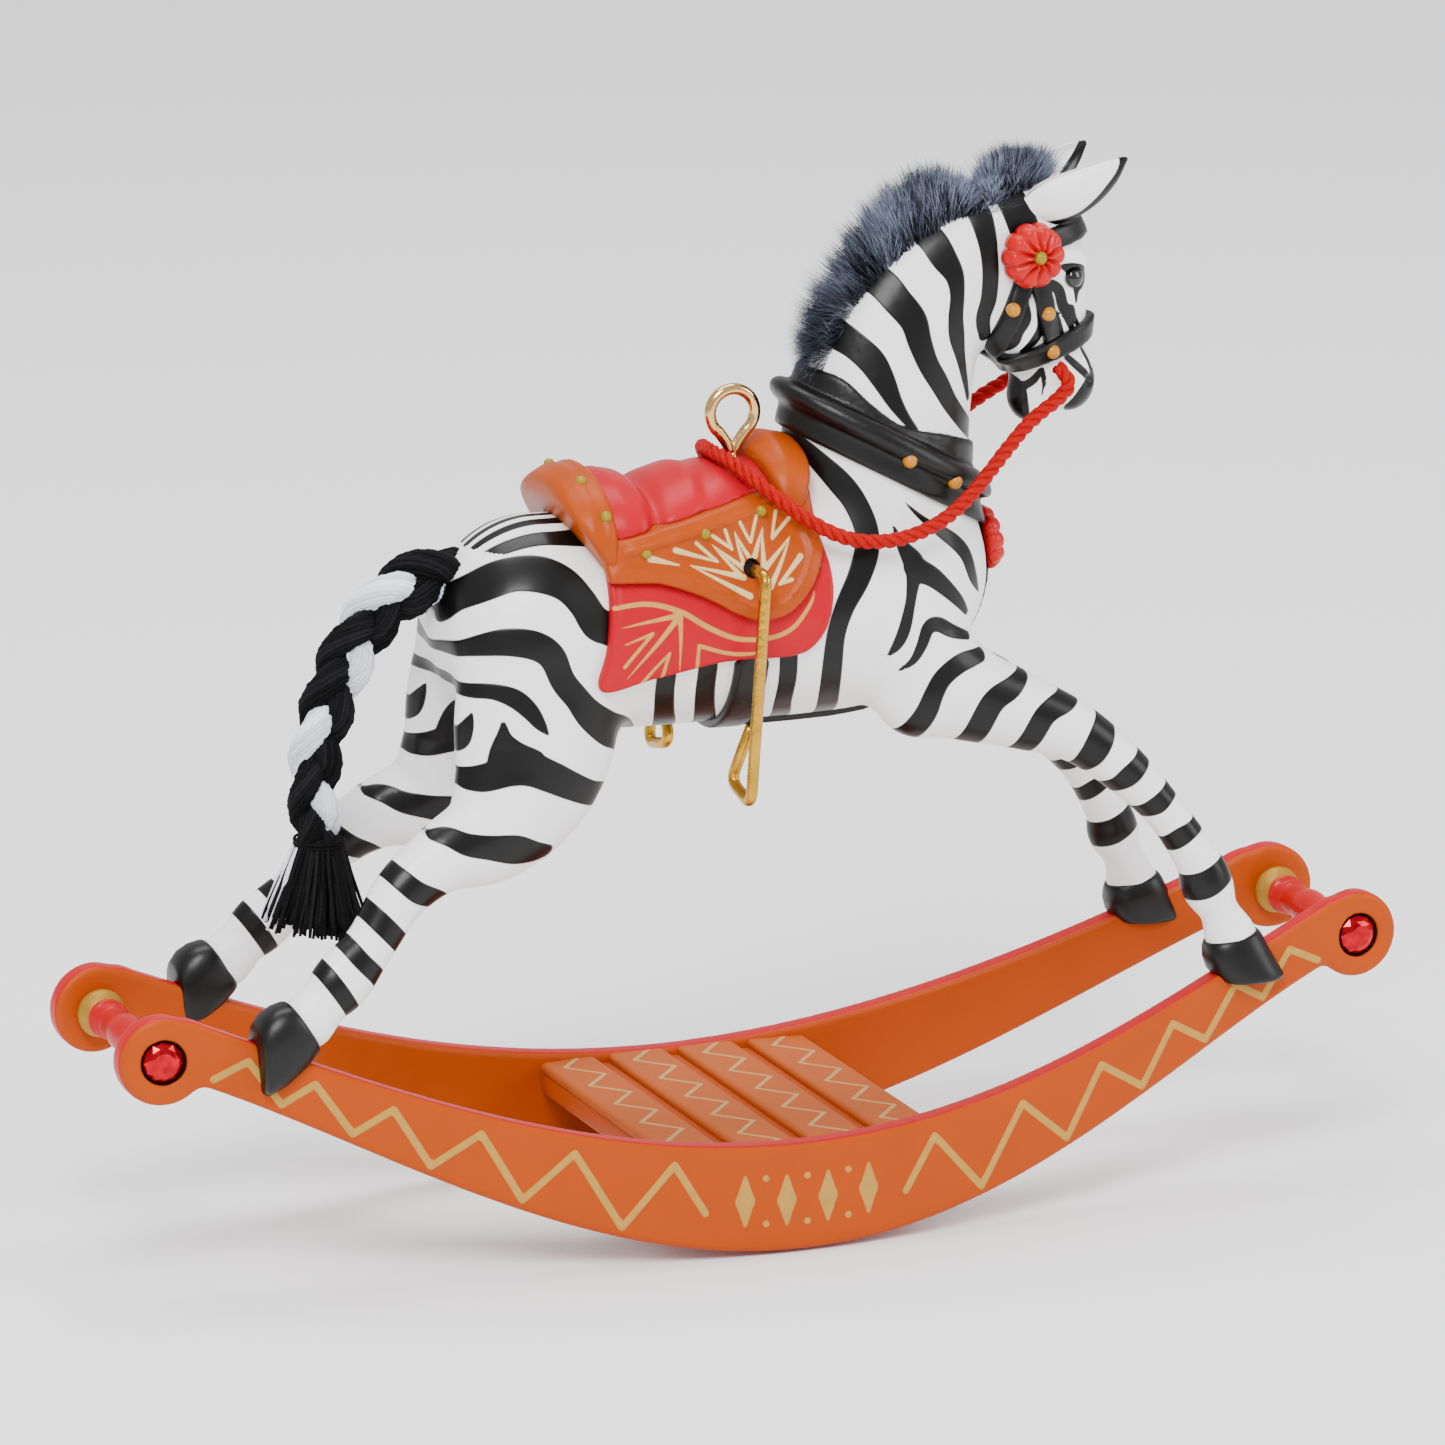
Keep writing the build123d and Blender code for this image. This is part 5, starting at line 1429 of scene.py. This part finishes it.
def build_mane():
    """Short upright fur in rows of tufts along the crest, over a low dark base."""
    rng = np.random.default_rng(11)
    roots = smooth_line(MANE_ROOTS, 12)
    tips = smooth_line(MANE_TIPS, 12)
    count = 19000
    t = rng.uniform(0, 1, count) ** 0.95 * (len(roots) - 1)
    i = np.minimum(t.astype(int), len(roots) - 2)
    f = (t - i)[:, None]
    root = roots[i] * (1 - f) + roots[i + 1] * f
    tip = tips[i] * (1 - f) + tips[i + 1] * f
    side = rng.uniform(-1, 1, count)
    edge = np.minimum(1, np.minimum(t, len(roots) - 1 - t) / 6) ** 0.5
    half = 1.7 * edge
    tuft = np.stack([np.floor(t * 1.4), np.floor((side + 1) * 2)], 1)
    lean = np.sin(tuft[:, 0] * 12.9898 + tuft[:, 1] * 78.233) * 0.75
    lean_y = np.sin(tuft[:, 0] * 39.425 + tuft[:, 1] * 11.135) * 0.6
    reach = tip - root
    reach *= (0.72 + 0.34 * rng.random(count))[:, None] * (1 - 0.18 * side ** 2)[:, None]
    base = np.stack([root[:, 0], side * half, root[:, 1] - 0.25 - 0.7 * side ** 2], 1)
    across = np.stack([-reach[:, 1], reach[:, 0]], 1)
    across /= np.linalg.norm(across, axis=1, keepdims=True)
    top = np.stack([base[:, 0] + reach[:, 0] + across[:, 0] * (lean + rng.normal(0, 0.6, count)),
                    side * half * 1.35 + lean_y + rng.normal(0, 0.55, count),
                    base[:, 2] + reach[:, 1] + across[:, 1] * (lean + rng.normal(0, 0.6, count))], 1)
    middle = base * 0.5 + top * 0.5
    middle[:, 1] = side * half * 1.25
    patch = np.sin(t * 0.62 + 2.0 * np.sin(side * 2.3)) * np.sin(t * 0.23 + side * 3.1 + 1.0)
    shade = np.clip(0.45 + 0.36 * patch + rng.normal(0, 0.25, count), 0, 1)
    thick = 0.042
    angle = 2 * np.pi * np.arange(3) / 3
    ring = np.stack([np.cos(angle), np.sin(angle), 0 * angle], 1)
    verts = np.empty((count, 7, 3))
    verts[:, 0:3] = base[:, None] + ring * thick
    verts[:, 3:6] = middle[:, None] + ring * thick * 0.85
    verts[:, 6] = top
    colour = np.array([0.008, 0.010, 0.018])
    pale = np.array([0.23, 0.26, 0.36])
    mixed = colour + (pale - colour) * (shade[:, None] ** 1.6)
    dark = shade < 0.3
    mixed[dark] = (0.003, 0.003, 0.004)
    # painted shade and light: each fibre is darkened towards its root as shade in the pile, and lightened at
    # its tip as a painted highlight
    tints = np.ones((count, 7, 4))
    tints[:, 0:3, :3] = mixed[:, None] * 0.12
    tints[:, 3:6, :3] = mixed[:, None] * 0.55
    tints[:, 6, :3] = mixed * 1.4
    start = np.arange(count)[:, None, None] * 7
    quads = np.array([[0, 1, 4, 3], [1, 2, 5, 4], [2, 0, 3, 5]])[None] + start
    ends = np.array([[3, 4, 6], [4, 5, 6], [5, 3, 6]])[None] + start
    piece("mane_hair", verts.reshape(-1, 3), [quads.reshape(-1, 4), ends.reshape(-1, 3)],
          FUR, "mane_fur", ["mane"], tints=np.clip(tints, 0, 1).reshape(-1, 4))
    core = smooth_line([(x, 0, z - 0.2, 0.9) for x, z in MANE_ROOTS], 6)
    verts, faces = tube_along(core[:, :3], core[:, 3], 16)
    dark_tint = np.tile((0.01, 0.01, 0.013, 1.0), (len(verts), 1))
    piece("mane_base", verts, faces, FUR, "mane_fur", tints=dark_tint)


def build_tail():
    """Three strands of yarn plaited round the tail's line, tied, with a tassel of loose threads."""
    rng = np.random.default_rng(5)
    line = smooth_line([(-20.2, 0, 48.0), (-23.0, 0, 48.6), (-26.2, 0, 47.4), (-28.8, 0, 44.5),
                        (-30.7, 0, 40.8), (-31.9, 0, 36.8), (-32.2, 0, 33.0), (-31.8, 0, 29.6)], 60)
    gaps = np.concatenate([[0], np.cumsum(np.linalg.norm(np.diff(line, axis=0), axis=1))])
    s = np.linspace(0, gaps[-1], 190)
    line = np.stack([np.interp(s, gaps, line[:, i]) for i in range(3)], 1)
    along = unit(np.gradient(line, axis=0))
    flat = unit(np.cross(along, (0, 1.0, 0)))
    deep = np.tile((0, 1.0, 0), (len(line), 1))
    pitch = 11.0
    thin = 1 - 0.22 * s / gaps[-1]
    parts, tints = [], []
    inks = [(0.004, 0.004, 0.0045), (0.004, 0.004, 0.0045), (0.74, 0.77, 0.86)]
    for strand in range(3):
        phase = 2 * math.pi * (s / pitch + strand / 3) + 0.9
        swing = (1.2 * thin * np.cos(phase))[:, None] * flat
        dip = (0.75 * thin * np.sin(2 * phase))[:, None] * deep
        centre = line + swing + dip
        direction = unit(np.gradient(centre, axis=0))
        a = unit(np.cross(direction, deep))
        b = np.cross(direction, a)
        for yarn in range(26):
            ringed = yarn >= 8
            spin = 2 * math.pi * (s / 10.0 + (yarn - 8) / 18 if ringed else s / 7.0 + yarn / 8)
            out = (0.95 + 0.07 * rng.uniform(-1, 1) if ringed else 0.55) * thin
            path = centre + (out * np.cos(spin))[:, None] * a + (out * 0.88 * np.sin(spin))[:, None] * b
            path = path + rng.normal(0, 0.02, path.shape)
            radius = 0.20 * (1 + 0.10 * np.sin(2 * math.pi * s / 0.6 + yarn * 1.7))
            verts, faces = tube_along(path, radius, 6)
            parts.append((verts, faces))
            ink = np.array(inks[strand])
            noise = rng.uniform(0.7, 1.2) if strand == 2 else rng.uniform(0.3, 2.6)
            tints.append(np.tile((*np.clip(ink * noise, 0, 1), 1.0), (len(verts), 1)))
    verts, faces = merge(parts)
    piece("tail_braid_yarn", verts, faces, YARN, "tail_yarn", ["tail_braid"], tints=np.concatenate(tints))

    parts, tints = [], []
    for turn in range(4):
        ring = [(-31.8 + 1.75 * math.cos(t), 1.75 * math.sin(t), 30.3 - 0.3 * turn - 0.3 * t / (2 * math.pi))
                for t in np.linspace(0, 2 * math.pi, 40)]
        verts, faces = tube_along(ring, 0.17, 8)
        parts.append((verts, faces))
        tints.append(np.tile((0.003, 0.003, 0.0035, 1), (len(verts), 1)))
    for number in range(520):
        angle, out = rng.uniform(0, 2 * math.pi), math.sqrt(rng.uniform(0, 1))
        spread = rng.uniform(0.85, 1.1)
        length = rng.uniform(6.2, 7.6) * (0.92 + 0.08 * math.cos(angle))
        curl = rng.uniform(0, 2 * math.pi)
        path = []
        for k in range(9):
            f = k / 8
            r = out * (1.5 + 2.3 * f ** 0.9 * spread)
            wave = 0.16 * math.sin(6 * f + curl) * f
            path.append((-31.8 - 0.5 * f + r * math.cos(angle) + wave, r * math.sin(angle) + wave,
                         30.3 - length * f + 0.15 * math.cos(5 * f + curl) * f))
        verts, faces = tube_along(path, np.linspace(0.17, 0.12, 9), 5)
        parts.append((verts, faces))
        tone = 0.8 if number % 2 == 0 and math.cos(angle) < -0.93 else rng.uniform(0.001, 0.010)
        tints.append(np.tile((tone, tone, tone * 1.1, 1), (len(verts), 1)))
    verts, faces = merge(parts)
    piece("tail_tassel_yarn", verts, faces, YARN, "tail_yarn", ["tail_tassel"], tints=np.concatenate(tints))


build_mane()
build_tail()
